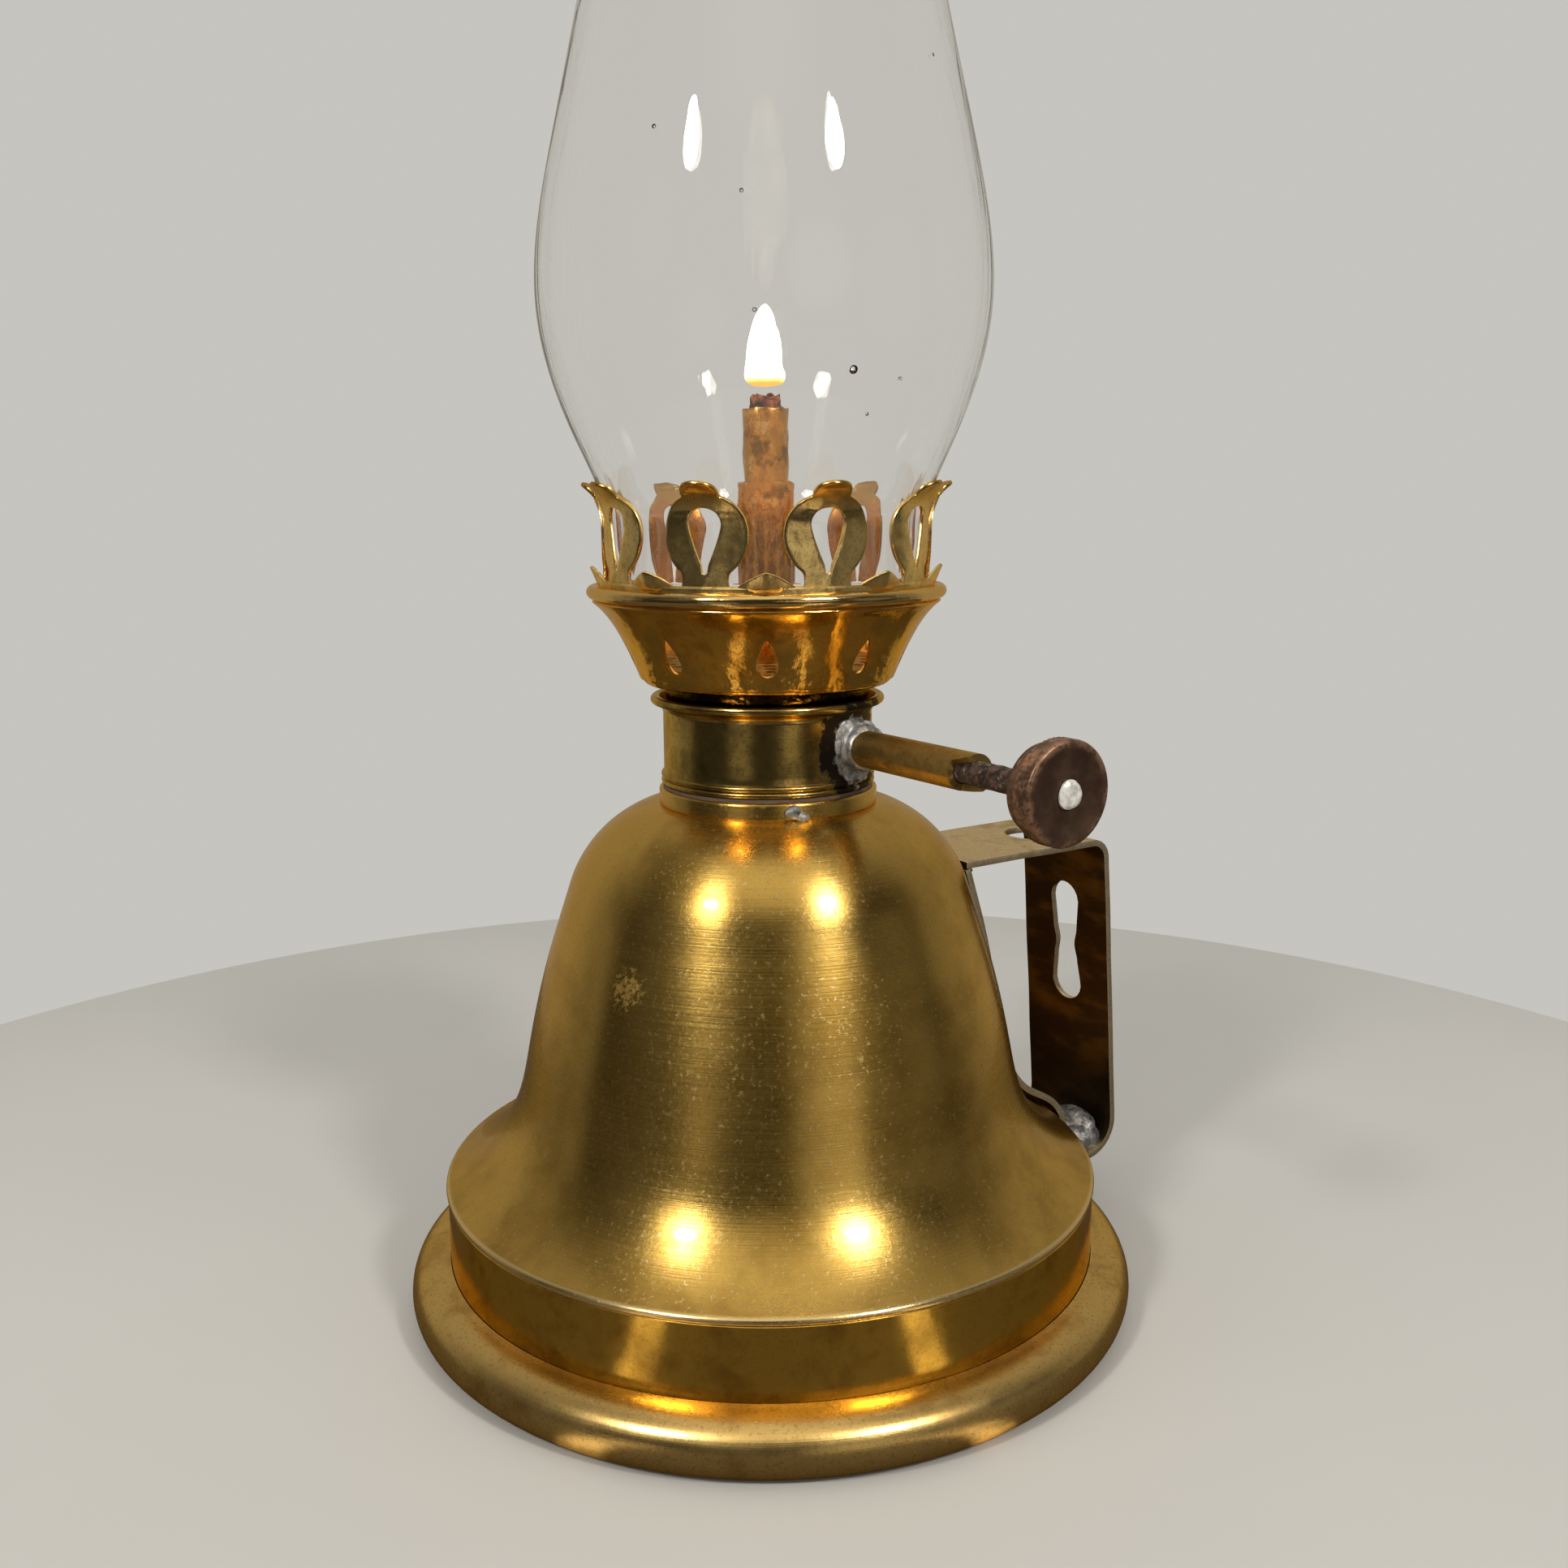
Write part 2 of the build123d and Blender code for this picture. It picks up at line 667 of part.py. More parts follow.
# Perforated disc in the bowl that spreads the air round the flame.
with BuildPart() as air_screen:
    with BuildSketch(Plane.XY.offset(screen_height)):
        Circle(screen_radius)
        Circle(sleeve_radius + 0.3, mode=Mode.SUBTRACT)
        for ring_radius, hole_count in screen_rings:
            with PolarLocations(ring_radius, hole_count):
                Circle(screen_hole_radius, mode=Mode.SUBTRACT)
    extrude(amount=gallery_sheet)
air_screen.part.label = "air_screen"
export_step(air_screen.part, "parts/air_screen.step")

# ---------------------------------------------------------------- chimney

# Blown glass: a straight fitter, a bulb round the flame and a tapering flue.
with BuildPart() as chimney_glass:
    with BuildSketch(Plane.XZ):
        with BuildLine():
            bulb = Spline(*glass_points, tangents=[(0, 1), (0, 1)])
            inner_bulb = Spline(*beside(bulb, glass_wall, wall_places), tangents=[(0, 1), (0, 1)])
            Polyline(
                bulb @ 1,
                (flue_radius, glass_top),
                (flue_radius - glass_wall, glass_top),
                inner_bulb @ 1,
            )
            Polyline(
                bulb @ 0,
                (fitter_radius, glass_bottom),
                (fitter_radius - glass_wall, glass_bottom),
                inner_bulb @ 0,
            )
        make_face()
    revolve(axis=Axis.Z)
    fillet(chimney_glass.edges().filter_by(GeomType.CIRCLE).group_by(Axis.Z)[-1], 0.5)
chimney_glass.part.label = "chimney_glass"
export_step(chimney_glass.part, "parts/chimney_glass.step")
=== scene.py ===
import json
from math import atan2, cos, degrees, hypot, pi, radians, sin, tan

import bmesh
import bpy
import numpy as np
from mathutils import Matrix, Vector, noise


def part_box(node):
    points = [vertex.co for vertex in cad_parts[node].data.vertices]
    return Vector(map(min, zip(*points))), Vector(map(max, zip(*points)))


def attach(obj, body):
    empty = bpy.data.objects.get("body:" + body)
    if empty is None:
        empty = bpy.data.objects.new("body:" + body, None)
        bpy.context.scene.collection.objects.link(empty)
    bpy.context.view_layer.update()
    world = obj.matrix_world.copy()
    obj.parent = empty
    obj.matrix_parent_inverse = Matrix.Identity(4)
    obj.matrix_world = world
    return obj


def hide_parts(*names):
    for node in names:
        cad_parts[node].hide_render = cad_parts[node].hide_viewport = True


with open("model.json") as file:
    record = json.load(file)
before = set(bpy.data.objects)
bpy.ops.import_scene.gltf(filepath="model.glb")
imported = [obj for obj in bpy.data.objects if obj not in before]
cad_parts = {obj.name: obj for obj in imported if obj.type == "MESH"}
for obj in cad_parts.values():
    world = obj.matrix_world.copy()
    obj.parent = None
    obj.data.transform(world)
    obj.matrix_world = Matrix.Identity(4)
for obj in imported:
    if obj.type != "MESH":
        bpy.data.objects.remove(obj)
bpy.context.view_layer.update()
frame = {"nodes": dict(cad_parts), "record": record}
nodes = frame["nodes"]

# Lengths in this file are millimetres until a mesh is made; MM turns them into metres.
MM = 0.001
CAMERA_SIDE = -123.0            # where the camera stands, in degrees round the lamp
BELL_WALL = [(37.4, 20.1), (33.9, 24.4), (31.1, 34.0), (28.2, 46.0), (25.3, 55.0)]
BELL_START, BELL_END = (-1, 0.45), (-0.32, 1)
SHEET = 0.8                     # thickness of the font's brass
CAN_RADIUS = 13.1
THREAD_PITCH, THREAD_DEPTH = 1.5, 0.35
STRAP_WIDTH, STRAP = 17.0, 0.9
GALLERY_COUNT = 9
GALLERY_PITCH = 2 * pi / GALLERY_COUNT
PRONG_ANGLE = radians(17.0)
VENT_ANGLE = PRONG_ANGLE + GALLERY_PITCH / 2


def cad_size(name):
    """The lowest and highest corners of a CAD node, in millimetres."""
    low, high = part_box(name)
    return low / MM, high / MM


def cad_round(name):
    """Radius, length and far end of a CAD node that is round about the winder's axis."""
    low, high = cad_size(name)
    return (high.x - low.x) / 2, high.y - low.y, high.y


# ------------------------------------------------------------------ outlines

def smooth(points, steps, start=None, end=None):
    """Points on the cubic spline through these, with the end directions given or left free."""
    knots = np.array(points, float)
    gaps = np.linalg.norm(np.diff(knots, axis=0), axis=1)
    count = len(knots)
    rows, sides = np.zeros((count, count)), np.zeros((count, 2))
    for i in range(1, count - 1):
        rows[i, i - 1:i + 2] = gaps[i], 2 * (gaps[i - 1] + gaps[i]), gaps[i - 1]
        sides[i] = 3 * (
            gaps[i] * (knots[i] - knots[i - 1]) / gaps[i - 1]
            + gaps[i - 1] * (knots[i + 1] - knots[i]) / gaps[i]
        )
    for i, j, direction, gap in ((0, 1, start, gaps[0]), (count - 1, count - 2, end, gaps[-1])):
        rows[i, i] = 1 if direction else 2
        rows[i, j] = 0 if direction else 1
        chord = 3 * abs(knots[j] - knots[i]) * np.sign(knots[j] - knots[i]) / gap
        sides[i] = np.array(direction) / hypot(*direction) if direction else chord * (1 if i == 0 else -1)
    slopes = np.linalg.solve(rows, sides)
    line = []
    for i, gap in enumerate(gaps):
        parts = max(2, round(steps * gap / gaps.sum()))
        for part in range(parts):
            t = part / parts
            line.append(
                (2 * t ** 3 - 3 * t ** 2 + 1) * knots[i] + (t ** 3 - 2 * t ** 2 + t) * gap * slopes[i]
                + (3 * t ** 2 - 2 * t ** 3) * knots[i + 1] + (t ** 3 - t ** 2) * gap * slopes[i + 1]
            )
    return [tuple(point) for point in line + [knots[-1]]]


def straight(start, end, steps):
    """Points on a straight line, with both ends."""
    return [tuple(a + (b - a) * i / steps for a, b in zip(start, end)) for i in range(steps + 1)]


def column(radius, low, high, steps):
    """Points on an upright line."""
    return straight((radius, low), (radius, high), steps)


def arc(centre, radius, start, end, steps=8):
    """Points on an arc, with its angles in degrees."""
    turns = [radians(start + (end - start) * step / steps) for step in range(steps + 1)]
    return [(centre[0] + radius * cos(turn), centre[1] + radius * sin(turn)) for turn in turns]


def shifted(line, distance):
    """The line moved sideways to its left by a distance."""
    line = np.array(line)
    along = np.gradient(line, axis=0)
    along /= np.linalg.norm(along, axis=1)[:, None]
    return [tuple(point) for point in line + distance * np.stack([-along[:, 1], along[:, 0]], 1)]


def lengths_along(line):
    """How far each point of a line is from its start."""
    return np.concatenate([[0], np.cumsum(np.linalg.norm(np.diff(line, axis=0), axis=1))])


def bell_wall(foot):
    """Outer line of the bell from a point at its foot to where the shoulder starts."""
    return smooth([foot] + BELL_WALL, 70, start=BELL_START, end=BELL_END)


def limited(value):
    """The value kept from 0 to 1."""
    return max(0.0, min(1.0, value))


def ripple(angle, size, height):
    """Noise from -1 to 1 round a circle: the larger its size, the shorter the ripples."""
    return noise.noise(Vector((cos(angle) * size, sin(angle) * size, height)))


def around(radius, turn, height):
    """A point at a radius, an angle and a height."""
    return radius * cos(turn), radius * sin(turn), height


def screw(angle, height):
    """Depth of a thread's groove at a place on it, from 0 to 1."""
    return abs(2 * ((height / THREAD_PITCH - angle / (2 * pi)) % 1.0) - 1)


# ------------------------------------------------------------------ meshes

def new_object(name, mesh):
    piece = bpy.data.objects.new(name, mesh)
    bpy.context.scene.collection.objects.link(piece)
    return piece


def shade(piece, sharp=32):
    """Smooth shading, with edges sharper than an angle left crisp."""
    work = bmesh.new()
    work.from_mesh(piece.data)
    bmesh.ops.recalc_face_normals(work, faces=work.faces)
    for edge in work.edges:
        edge.smooth = len(edge.link_faces) != 2 or edge.calc_face_angle(0) < radians(sharp)
    for face in work.faces:
        face.smooth = True
    work.to_mesh(piece.data)
    work.free()
    return piece


def turned(name, outline, segments=192, shape=None):
    """A closed outline of radius and height turned about the vertical axis.

    shape(angle, radius, height) returns the point's own radius and height, for what isn't round.
    Its UV map is in metres: round the axis, and along the outline.
    """
    work = bmesh.new()
    uv = work.loops.layers.uv.new("turned")
    lengths = lengths_along(np.array(outline + outline[:1]))
    rings = []
    for radius, height in outline:
        ring = []
        for step in range(segments):
            angle = 2 * pi * step / segments
            r, z = shape(angle, radius, height) if shape else (radius, height)
            ring.append(work.verts.new(Vector((r * cos(angle), r * sin(angle), z)) * MM))
        rings.append(ring)
    count = len(rings)
    mean = sum(radius for radius, _ in outline) / count
    for i in range(count):
        for j in range(segments):
            k, m = (i + 1) % count, (j + 1) % segments
            face = work.faces.new((rings[i][j], rings[i][m], rings[k][m], rings[k][j]))
            corners = ((j, i), (j + 1, i), (j + 1, i + 1), (j, i + 1))
            for loop, (around, along) in zip(face.loops, corners):
                loop[uv].uv = (around / segments * 2 * pi * mean * MM, lengths[along] * MM)
    bmesh.ops.remove_doubles(work, verts=work.verts, dist=1e-7)
    mesh = bpy.data.meshes.new(name)
    work.to_mesh(mesh)
    work.free()
    return shade(new_object(name, mesh))


def apply_modifiers(piece):
    """Makes the modifiers' result the piece's own mesh."""
    evaluated = piece.evaluated_get(bpy.context.evaluated_depsgraph_get())
    mesh = bpy.data.meshes.new_from_object(evaluated)
    piece.modifiers.clear()
    piece.data = mesh
    return piece


def thickened(name, surface, thickness, edge=0.1, sharp=32):
    """A closed piece of sheet metal with softened edges, made from the points and quads of its middle."""
    points, quads = surface
    mesh = bpy.data.meshes.new(name)
    mesh.from_pydata([Vector(point) * MM for point in points], [], quads)
    work = bmesh.new()
    work.from_mesh(mesh)
    bmesh.ops.remove_doubles(work, verts=work.verts, dist=2e-6)
    bmesh.ops.recalc_face_normals(work, faces=work.faces)
    work.to_mesh(mesh)
    work.free()
    piece = new_object(name, mesh)
    solid = piece.modifiers.new("sheet", "SOLIDIFY")
    solid.thickness, solid.offset, solid.use_even_offset = thickness * MM, 0.0, True
    bevel = piece.modifiers.new("edge", "BEVEL")
    bevel.width, bevel.segments = edge * MM, 2
    bevel.limit_method, bevel.angle_limit = "ANGLE", radians(50)
    return shade(apply_modifiers(piece), sharp)


def grid(columns, rows, place):
    """Points and quads of a sheet, put in place by place(share across, share along)."""
    points = [place(c / columns, r / rows) for r in range(rows + 1) for c in range(columns + 1)]
    width = columns + 1
    quads = [(r * width + c, r * width + c + 1, (r + 1) * width + c + 1, (r + 1) * width + c)
             for r in range(rows) for c in range(columns)]
    return points, quads


def patch(outer, inner, steps, place):
    """Points and quads between two closed lines with as many points each, put in place by place(u, v)."""
    count = len(outer)
    points = [place(a + (c - a) * step / steps, b + (d - b) * step / steps)
              for step in range(steps + 1) for (a, b), (c, d) in zip(outer, inner)]
    quads = [(step + i, step + (i + 1) % count, step + count + (i + 1) % count, step + count + i)
             for step in range(0, steps * count, count) for i in range(count)]
    return points, quads


def joined(parts):
    """Several (points, quads) lists as one."""
    points, quads = [], []
    for more_points, more_quads in parts:
        quads += [tuple(index + len(points) for index in quad) for quad in more_quads]
        points += more_points
    return points, quads


def round_gallery(first, make):
    """What make(angle, number) returns for each prong's or vent's place round the gallery, as one."""
    return joined([make(first + i * GALLERY_PITCH, i) for i in range(GALLERY_COUNT)])


def border(half, low, high, across, up):
    """A rectangle's outline from its lower left corner, anticlockwise."""
    corners = [(-half, low), (half, low), (half, high), (-half, high), (-half, low)]
    line = []
    for start, end, steps in zip(corners, corners[1:], (across, up, across, up)):
        line += straight(start, end, steps)[:-1]
    return line


def outline_of(inside, centre, directions, far=15.0):
    """The closed outline of the shape where inside(x, y) is true, by rays from a point in it."""
    line = []
    for x, y in directions:
        x, y = x / hypot(x, y), y / hypot(x, y)
        near, beyond = 0.0, far
        for _ in range(30):
            middle = (near + beyond) / 2
            if inside(centre[0] + x * middle, centre[1] + y * middle):
                near = middle
            else:
                beyond = middle
        line.append((centre[0] + x * near, centre[1] + y * near))
    return line


def lump(name, balls, voxel, roughness, seed):
    """One lumpy solid from overlapping balls of (centre, radii)."""
    work = bmesh.new()
    for centre, radii in balls:
        made = bmesh.ops.create_icosphere(work, subdivisions=3, radius=1.0)
        for vertex in made["verts"]:
            vertex.co = (Vector(centre) + Vector([c * r for c, r in zip(vertex.co, radii)])) * MM
    mesh = bpy.data.meshes.new(name)
    work.to_mesh(mesh)
    work.free()
    piece = new_object(name, mesh)
    merge = piece.modifiers.new("merge", "REMESH")
    merge.mode, merge.voxel_size = "VOXEL", voxel * MM
    soften = piece.modifiers.new("soften", "SMOOTH")
    soften.iterations = 6
    apply_modifiers(piece)
    for vertex in piece.data.vertices:
        spot = vertex.co / MM
        push = noise.noise(spot * 0.55 + Vector((seed, 0, 0)))
        push += 0.4 * noise.noise(spot * 1.7 + Vector((seed, 3, 1)))
        vertex.co += vertex.normal * push * roughness * MM
    return shade(piece, 80)


# ------------------------------------------------------------------ materials

class Tree:
    """A node tree with short calls. Scales are one per metre, and depths are millimetres."""

    def __init__(self, tree):
        self.tree = tree
        self.places = tree.nodes.new("ShaderNodeTexCoord").outputs

    def feed(self, socket, value):
        """Puts a value in a socket or links an output to it."""
        if isinstance(value, bpy.types.NodeSocket):
            self.tree.links.new(value, socket)
        elif isinstance(value, tuple) and len(value) == 3 and socket.type == "RGBA":
            socket.default_value = (*value, 1.0)
        else:
            socket.default_value = value

    def node(self, kind, inputs=None, **settings):
        made = self.tree.nodes.new("ShaderNode" + kind)
        for key, value in settings.items():
            setattr(made, key, value)
        for key, value in (inputs or {}).items():
            self.feed(made.inputs[key], value)
        return made

    def noise(self, scale, detail=3.0, roughness=0.55, source="Object", distortion=0.0):
        """Noise from 0 to 1. scale is one number or one for each axis."""
        scale = scale if isinstance(scale, tuple) else (scale, scale, scale)
        mapped = self.node("Mapping", {"Vector": self.places[source], "Scale": scale}).outputs["Vector"]
        return self.node("TexNoise", {
            "Vector": mapped, "Scale": 1.0, "Detail": detail, "Roughness": roughness, "Distortion": distortion,
        }).outputs["Fac"]

    def span(self, value, low, high, to_low=0.0, to_high=1.0):
        """value from low to high as a smooth step between two other values."""
        inputs = {"Value": value, "From Min": low, "From Max": high, "To Min": to_low, "To Max": to_high}
        return self.node("MapRange", inputs, interpolation_type="SMOOTHSTEP").outputs["Result"]

    def calc(self, operation, a, b=0.0, **settings):
        return self.node("Math", {0: a, 1: b}, operation=operation, **settings).outputs["Value"]

    def plus(self, a, b, share):
        """a and a share of b."""
        return self.calc("ADD", a, self.calc("MULTIPLY", b, share))

    def vector(self, operation, a, b=(0.0, 0.0, 0.0), output="Vector"):
        return self.node("VectorMath", {0: a, 1: b}, operation=operation).outputs[output]

    def mix(self, share, a, b):
        made = self.node("Mix", data_type="RGBA")
        for socket, value in ((made.inputs[0], share), (made.inputs[6], a), (made.inputs[7], b)):
            self.feed(socket, value)
        return made.outputs[2]

    def spots(self, base, colour, scale, low, high, share=1.0, detail=3.0, roughness=0.55):
        """base with another colour where a noise rises from low to high."""
        return self.mix(self.span(self.noise(scale, detail, roughness), low, high, 0.0, share), base, colour)

    def mirrored(self):
        """1 for what metal mirrors, 0 for what is seen, lit or passed on by glass."""
        rays = self.node("LightPath").outputs
        return self.calc("SUBTRACT", rays["Is Glossy Ray"], rays["Is Transmission Ray"], use_clamp=True)


class Look(Tree):
    """A Principled material."""

    def __init__(self, name, **sockets):
        self.name = name
        self.material = bpy.data.materials.new(name)
        self.material.use_nodes = True
        super().__init__(self.material.node_tree)
        self.shader = self.tree.nodes["Principled BSDF"]
        self.set(**sockets)

    def set(self, **sockets):
        """Feeds the shader's sockets; metallic=1 means the socket Metallic."""
        for key, value in sockets.items():
            self.feed(self.shader.inputs[key.replace("_", " ").title().replace("Ior", "IOR")], value)
        return self

    def fed(self, socket):
        """The output that feeds one of the shader's sockets."""
        return self.shader.inputs[socket].links[0].from_socket

    def axis(self, name):
        """One object coordinate in metres."""
        return self.node("SeparateXYZ", {0: self.places["Object"]}).outputs[name]

    def facing(self, direction):
        """How far the surface faces a direction in the object's frame, from -1 to 1."""
        return self.vector("DOT_PRODUCT", self.places["Normal"], direction, "Value")

    def level(self):
        """The direction away from the lamp's axis."""
        flat = self.vector("MULTIPLY", self.places["Object"], (1.0, 1.0, 0.0))
        return self.vector("NORMALIZE", flat)

    def bump(self, height, depth, below=None):
        """Relief from a height of 0 to 1, over an earlier relief."""
        inputs = {"Height": height, "Distance": depth * MM, "Strength": 1.0}
        if below is not None:
            inputs["Normal"] = below
        return self.node("Bump", inputs).outputs["Normal"]

    def mix_clear(self, share, colour=(1.0, 1.0, 1.0)):
        """Makes a share of the surface plainly transparent."""
        clear = self.node("BsdfTransparent", {"Color": colour})
        both = self.node("MixShader", {0: share, 1: self.shader.outputs[0], 2: clear.outputs[0]})
        self.feed(self.tree.nodes["Material Output"].inputs["Surface"], both.outputs[0])
        return self


def brass(name, colour, tarnish, roughness, patches=90.0, amount=0.5, speckle=0.35, brushed=0.0,
          relief=0.02, dirt=0.0, grain=2600.0):
    """Aged brass: a clean colour, tarnish in soft patches, fine speckle, brushing and dirt."""
    look = Look(name, metallic=1.0, specular_tint=(1.0, 0.78, 0.46))
    cloud = look.noise(patches, 5.0, 0.6, distortion=0.4)
    small = look.noise(patches * 4.3, 4.0, 0.6)
    specks = look.noise(grain, 2.0, 0.7)
    mask = look.plus(look.calc("MULTIPLY", cloud, 0.7), small, 0.3)
    base = look.mix(look.span(mask, 0.62 - amount * 0.35, 0.78 - amount * 0.2), colour, tarnish)
    dots = look.span(specks, 0.52, 0.68, 0.0, speckle)
    base = look.mix(dots, base, tuple(channel * 0.42 for channel in tarnish))
    if dirt:
        grime = look.span(look.noise(patches * 1.7, 6.0, 0.7, distortion=1.0), 0.6, 0.72, 0.0, dirt)
        base = look.mix(grime, base, (0.03, 0.022, 0.015))
    rough = look.plus(look.span(cloud, 0.35, 0.7, roughness * 0.8, roughness * 1.25), specks, 0.08)
    fine = look.bump(specks, relief * 0.35)
    if brushed:
        lines = look.noise((14.0, 5200.0, 1.0), 3.0, 0.65, source="UV")
        rough = look.plus(rough, lines, 0.12 * brushed)
        fine = look.bump(lines, relief * brushed, fine)
    return look.set(base_color=base, roughness=rough, normal=look.bump(small, relief, fine))


def bell_look():
    """Satin brass, brushed so that lamplight smears up and down it, flecked, rubbed bright at one place."""
    look = brass("bell_brass", (0.70, 0.445, 0.105), (0.42, 0.255, 0.05), 0.18, patches=46.0, amount=0.55,
                 speckle=0.6, brushed=1.0, relief=0.022, grain=2100.0)
    flecks = look.span(look.noise(2100.0, 3.0, 0.75), 0.55, 0.67, 0.0, 0.6)
    base = look.mix(flecks, look.fed("Base Color"), (0.95, 0.71, 0.30))
    # Paler band along the lip: polished wear, with a painted highlight for the bright line along its edge.
    lip_end = cad_size("font_shell")[0].z + 1.0
    lip = look.span(look.axis("Z"), (lip_end - 0.1) * MM, (lip_end + 0.1) * MM, 0.8, 0.0)
    base = look.mix(lip, base, (0.95, 0.72, 0.36))
    rub = look.vector("DISTANCE", look.places["Object"], (-0.0262, -0.0100, 0.0475), "Value")
    near = look.span(rub, 0.0, 0.0052, 0.17, -0.12)
    rubbed = look.span(look.calc("ADD", look.noise(1500.0, 5.0, 0.8), near), 0.58, 0.66, 0.0, 0.75)
    rough = look.plus(look.plus(look.fed("Roughness"), rubbed, 0.3), flecks, 0.12)
    brushing = look.node("Tangent", direction_type="RADIAL", axis="Z").outputs["Tangent"]
    return look.set(base_color=look.mix(rubbed, base, (0.98, 0.66, 0.19)), roughness=rough, anisotropic=0.6,
                    anisotropic_rotation=0.25, tangent=brushing, coat_weight=0.25, coat_roughness=0.07)


def band_look():
    """Bright brass that is a little wavy, so that it breaks what it mirrors."""
    look = brass("band_brass", (0.82, 0.50, 0.085), (0.50, 0.27, 0.045), 0.10, patches=120.0, amount=0.45,
                 speckle=0.25, brushed=0.4, relief=0.012)
    return look.set(normal=look.bump(look.noise((150.0, 150.0, 90.0), 2.0, 0.45), 0.14, look.fed("Normal")))


def burner_look():
    """Dark olive brass with solder and black flux smeared round the winder tube's root."""
    look = brass("burner_brass", (0.62, 0.43, 0.13), (0.27, 0.185, 0.055), 0.15, patches=170.0, amount=0.62,
                 speckle=0.4, brushed=0.5, relief=0.012, dirt=0.6)
    low, high = cad_size("winder_solder")
    root = ((low.x + high.x) / 2 * MM - 0.0005, high.y * MM, (low.z + high.z) / 2 * MM - 0.0004)
    away = look.vector("SUBTRACT", look.places["Object"], root)
    far = look.vector("LENGTH", look.vector("MULTIPLY", away, (1.0, 0.6, 0.78)), output="Value")
    far = look.plus(far, look.noise((430.0, 430.0, 300.0), 5.0, 0.7), 0.0058)
    flux = look.span(far, 0.0080, 0.0087, 1.0, 0.0)
    tin = look.span(far, 0.0062, 0.0068, 1.0, 0.0)
    grey = look.spots((0.34, 0.34, 0.34), (0.70, 0.69, 0.66), 700.0, 0.35, 0.62, 1.0, 4.0, 0.7)
    base = look.mix(tin, look.mix(flux, look.fed("Base Color"), (0.035, 0.028, 0.022)), grey)
    rough = look.plus(look.fed("Roughness"), look.calc("MAXIMUM", flux, tin), 0.22)
    return look.set(base_color=base, roughness=rough)


def gallery_look():
    """Glossy amber brass, olive in places, paler at its rim, with painted shade on the heel below its seat, and
    crinkled near its foot so that it glints.
    """
    look = brass("gallery_brass", (0.95, 0.50, 0.08), (0.64, 0.29, 0.04), 0.10, patches=150.0, amount=0.45,
                 speckle=0.3, relief=0.035)
    height = look.axis("Z")
    base = look.spots(look.fed("Base Color"), (0.52, 0.34, 0.09), 95.0, 0.43, 0.60, 0.6, 4.0, 0.6)
    base = look.mix(look.span(height, 0.0902, 0.0910, 0.0, 0.8), base, (0.86, 0.62, 0.27))
    # Painted shade: nearly black below 80.1 mm, on the heel below its seat, down out of the light.
    base = look.mix(look.span(height, 0.0801, 0.0806, 0.93, 0.0), base, (0.02, 0.015, 0.01))
    foot = look.span(height, 0.0815, 0.0870, 1.0, 0.15)
    crinkle = look.calc("MULTIPLY", look.noise((430.0, 430.0, 520.0), 2.0, 0.5), foot)
    dents = look.bump(look.noise(170.0, 2.0, 0.45), 0.3, look.fed("Normal"))
    return look.set(base_color=base, normal=look.bump(crinkle, 0.22, dents))


def handle_look():
    """Dull pale brass outside the loop, with painted shade in dark brown on the faces within it that turn towards
    the bell or downwards.
    """
    look = brass("handle_brass", (0.84, 0.71, 0.50), (0.52, 0.41, 0.24), 0.40, patches=140.0, amount=0.5,
                 speckle=0.4, relief=0.03)
    # Painted shade: faces turned towards the bell or downwards take a dark brown.
    inside = look.calc("MAXIMUM", look.span(look.facing((-1.0, 0.0, 0.0)), 0.3, 0.75),
                       look.span(look.facing((0.0, 0.0, -1.0)), 0.3, 0.75))
    brown = look.spots((0.075, 0.035, 0.014), (0.24, 0.105, 0.02), (90.0, 90.0, 260.0), 0.42, 0.66, 1.0, 5.0)
    # More painted shade: the brown darkens towards the handle's foot.
    brown = look.mix(look.span(look.axis("Z"), 0.014, 0.03, 0.8, 0.0), brown, (0.03, 0.024, 0.019))
    return look.set(base_color=look.mix(inside, look.fed("Base Color"), brown))


def crown_look():
    """Pale olive brass outside, with the flame's warm light painted as copper on the inward faces, amber at the
    tips, beaten and darkened in patches.
    """
    look = brass("crown_brass", (0.96, 0.70, 0.29), (0.55, 0.38, 0.13), 0.20, patches=210.0, amount=0.5,
                 speckle=0.35, relief=0.03)
    # Painted light: the inward faces, which face the flame, take copper tones for its warm glow.
    copper = look.mix(look.noise(320.0, 4.0), (0.74, 0.31, 0.075), (0.36, 0.14, 0.03))
    outward = look.vector("DOT_PRODUCT", look.places["Normal"], look.level(), "Value")
    base = look.mix(look.span(outward, -0.45, 0.05, 1.0, 0.0), look.fed("Base Color"), copper)
    amber = look.mix(look.noise(260.0, 3.0), (0.72, 0.42, 0.08), (0.40, 0.22, 0.05))
    base = look.mix(look.span(look.axis("Z"), 0.1015, 0.1032, 0.0, 0.75), base, amber)
    return look.set(base_color=base, normal=look.bump(look.noise(200.0, 2.0, 0.4), 0.55, look.fed("Normal")))


def wick_tube_look():
    """Heat-tinted tube: copper and orange scale over brown and olive."""
    look = Look("wick_tube_brass", metallic=1.0)
    coarse = look.noise((210.0, 210.0, 130.0), 5.0, 0.6, distortion=0.4)
    fine = look.noise((700.0, 700.0, 560.0), 4.0, 0.65)
    base = look.mix(look.span(coarse, 0.36, 0.62), (0.70, 0.29, 0.07), (0.46, 0.22, 0.055))
    base = look.mix(look.span(fine, 0.52, 0.72, 0.0, 0.7), base, (0.72, 0.41, 0.16))
    base = look.spots(base, (0.13, 0.065, 0.02), 330.0, 0.52, 0.66, 0.7, 4.0, 0.6)
    base = look.mix(look.span(look.axis("Z"), 0.094, 0.106, 0.6, 0.0), base, (0.36, 0.19, 0.035))
    return look.set(base_color=base, roughness=look.span(fine, 0.3, 0.75, 0.14, 0.34),
                    normal=look.bump(fine, 0.03, look.bump(coarse, 0.3)))


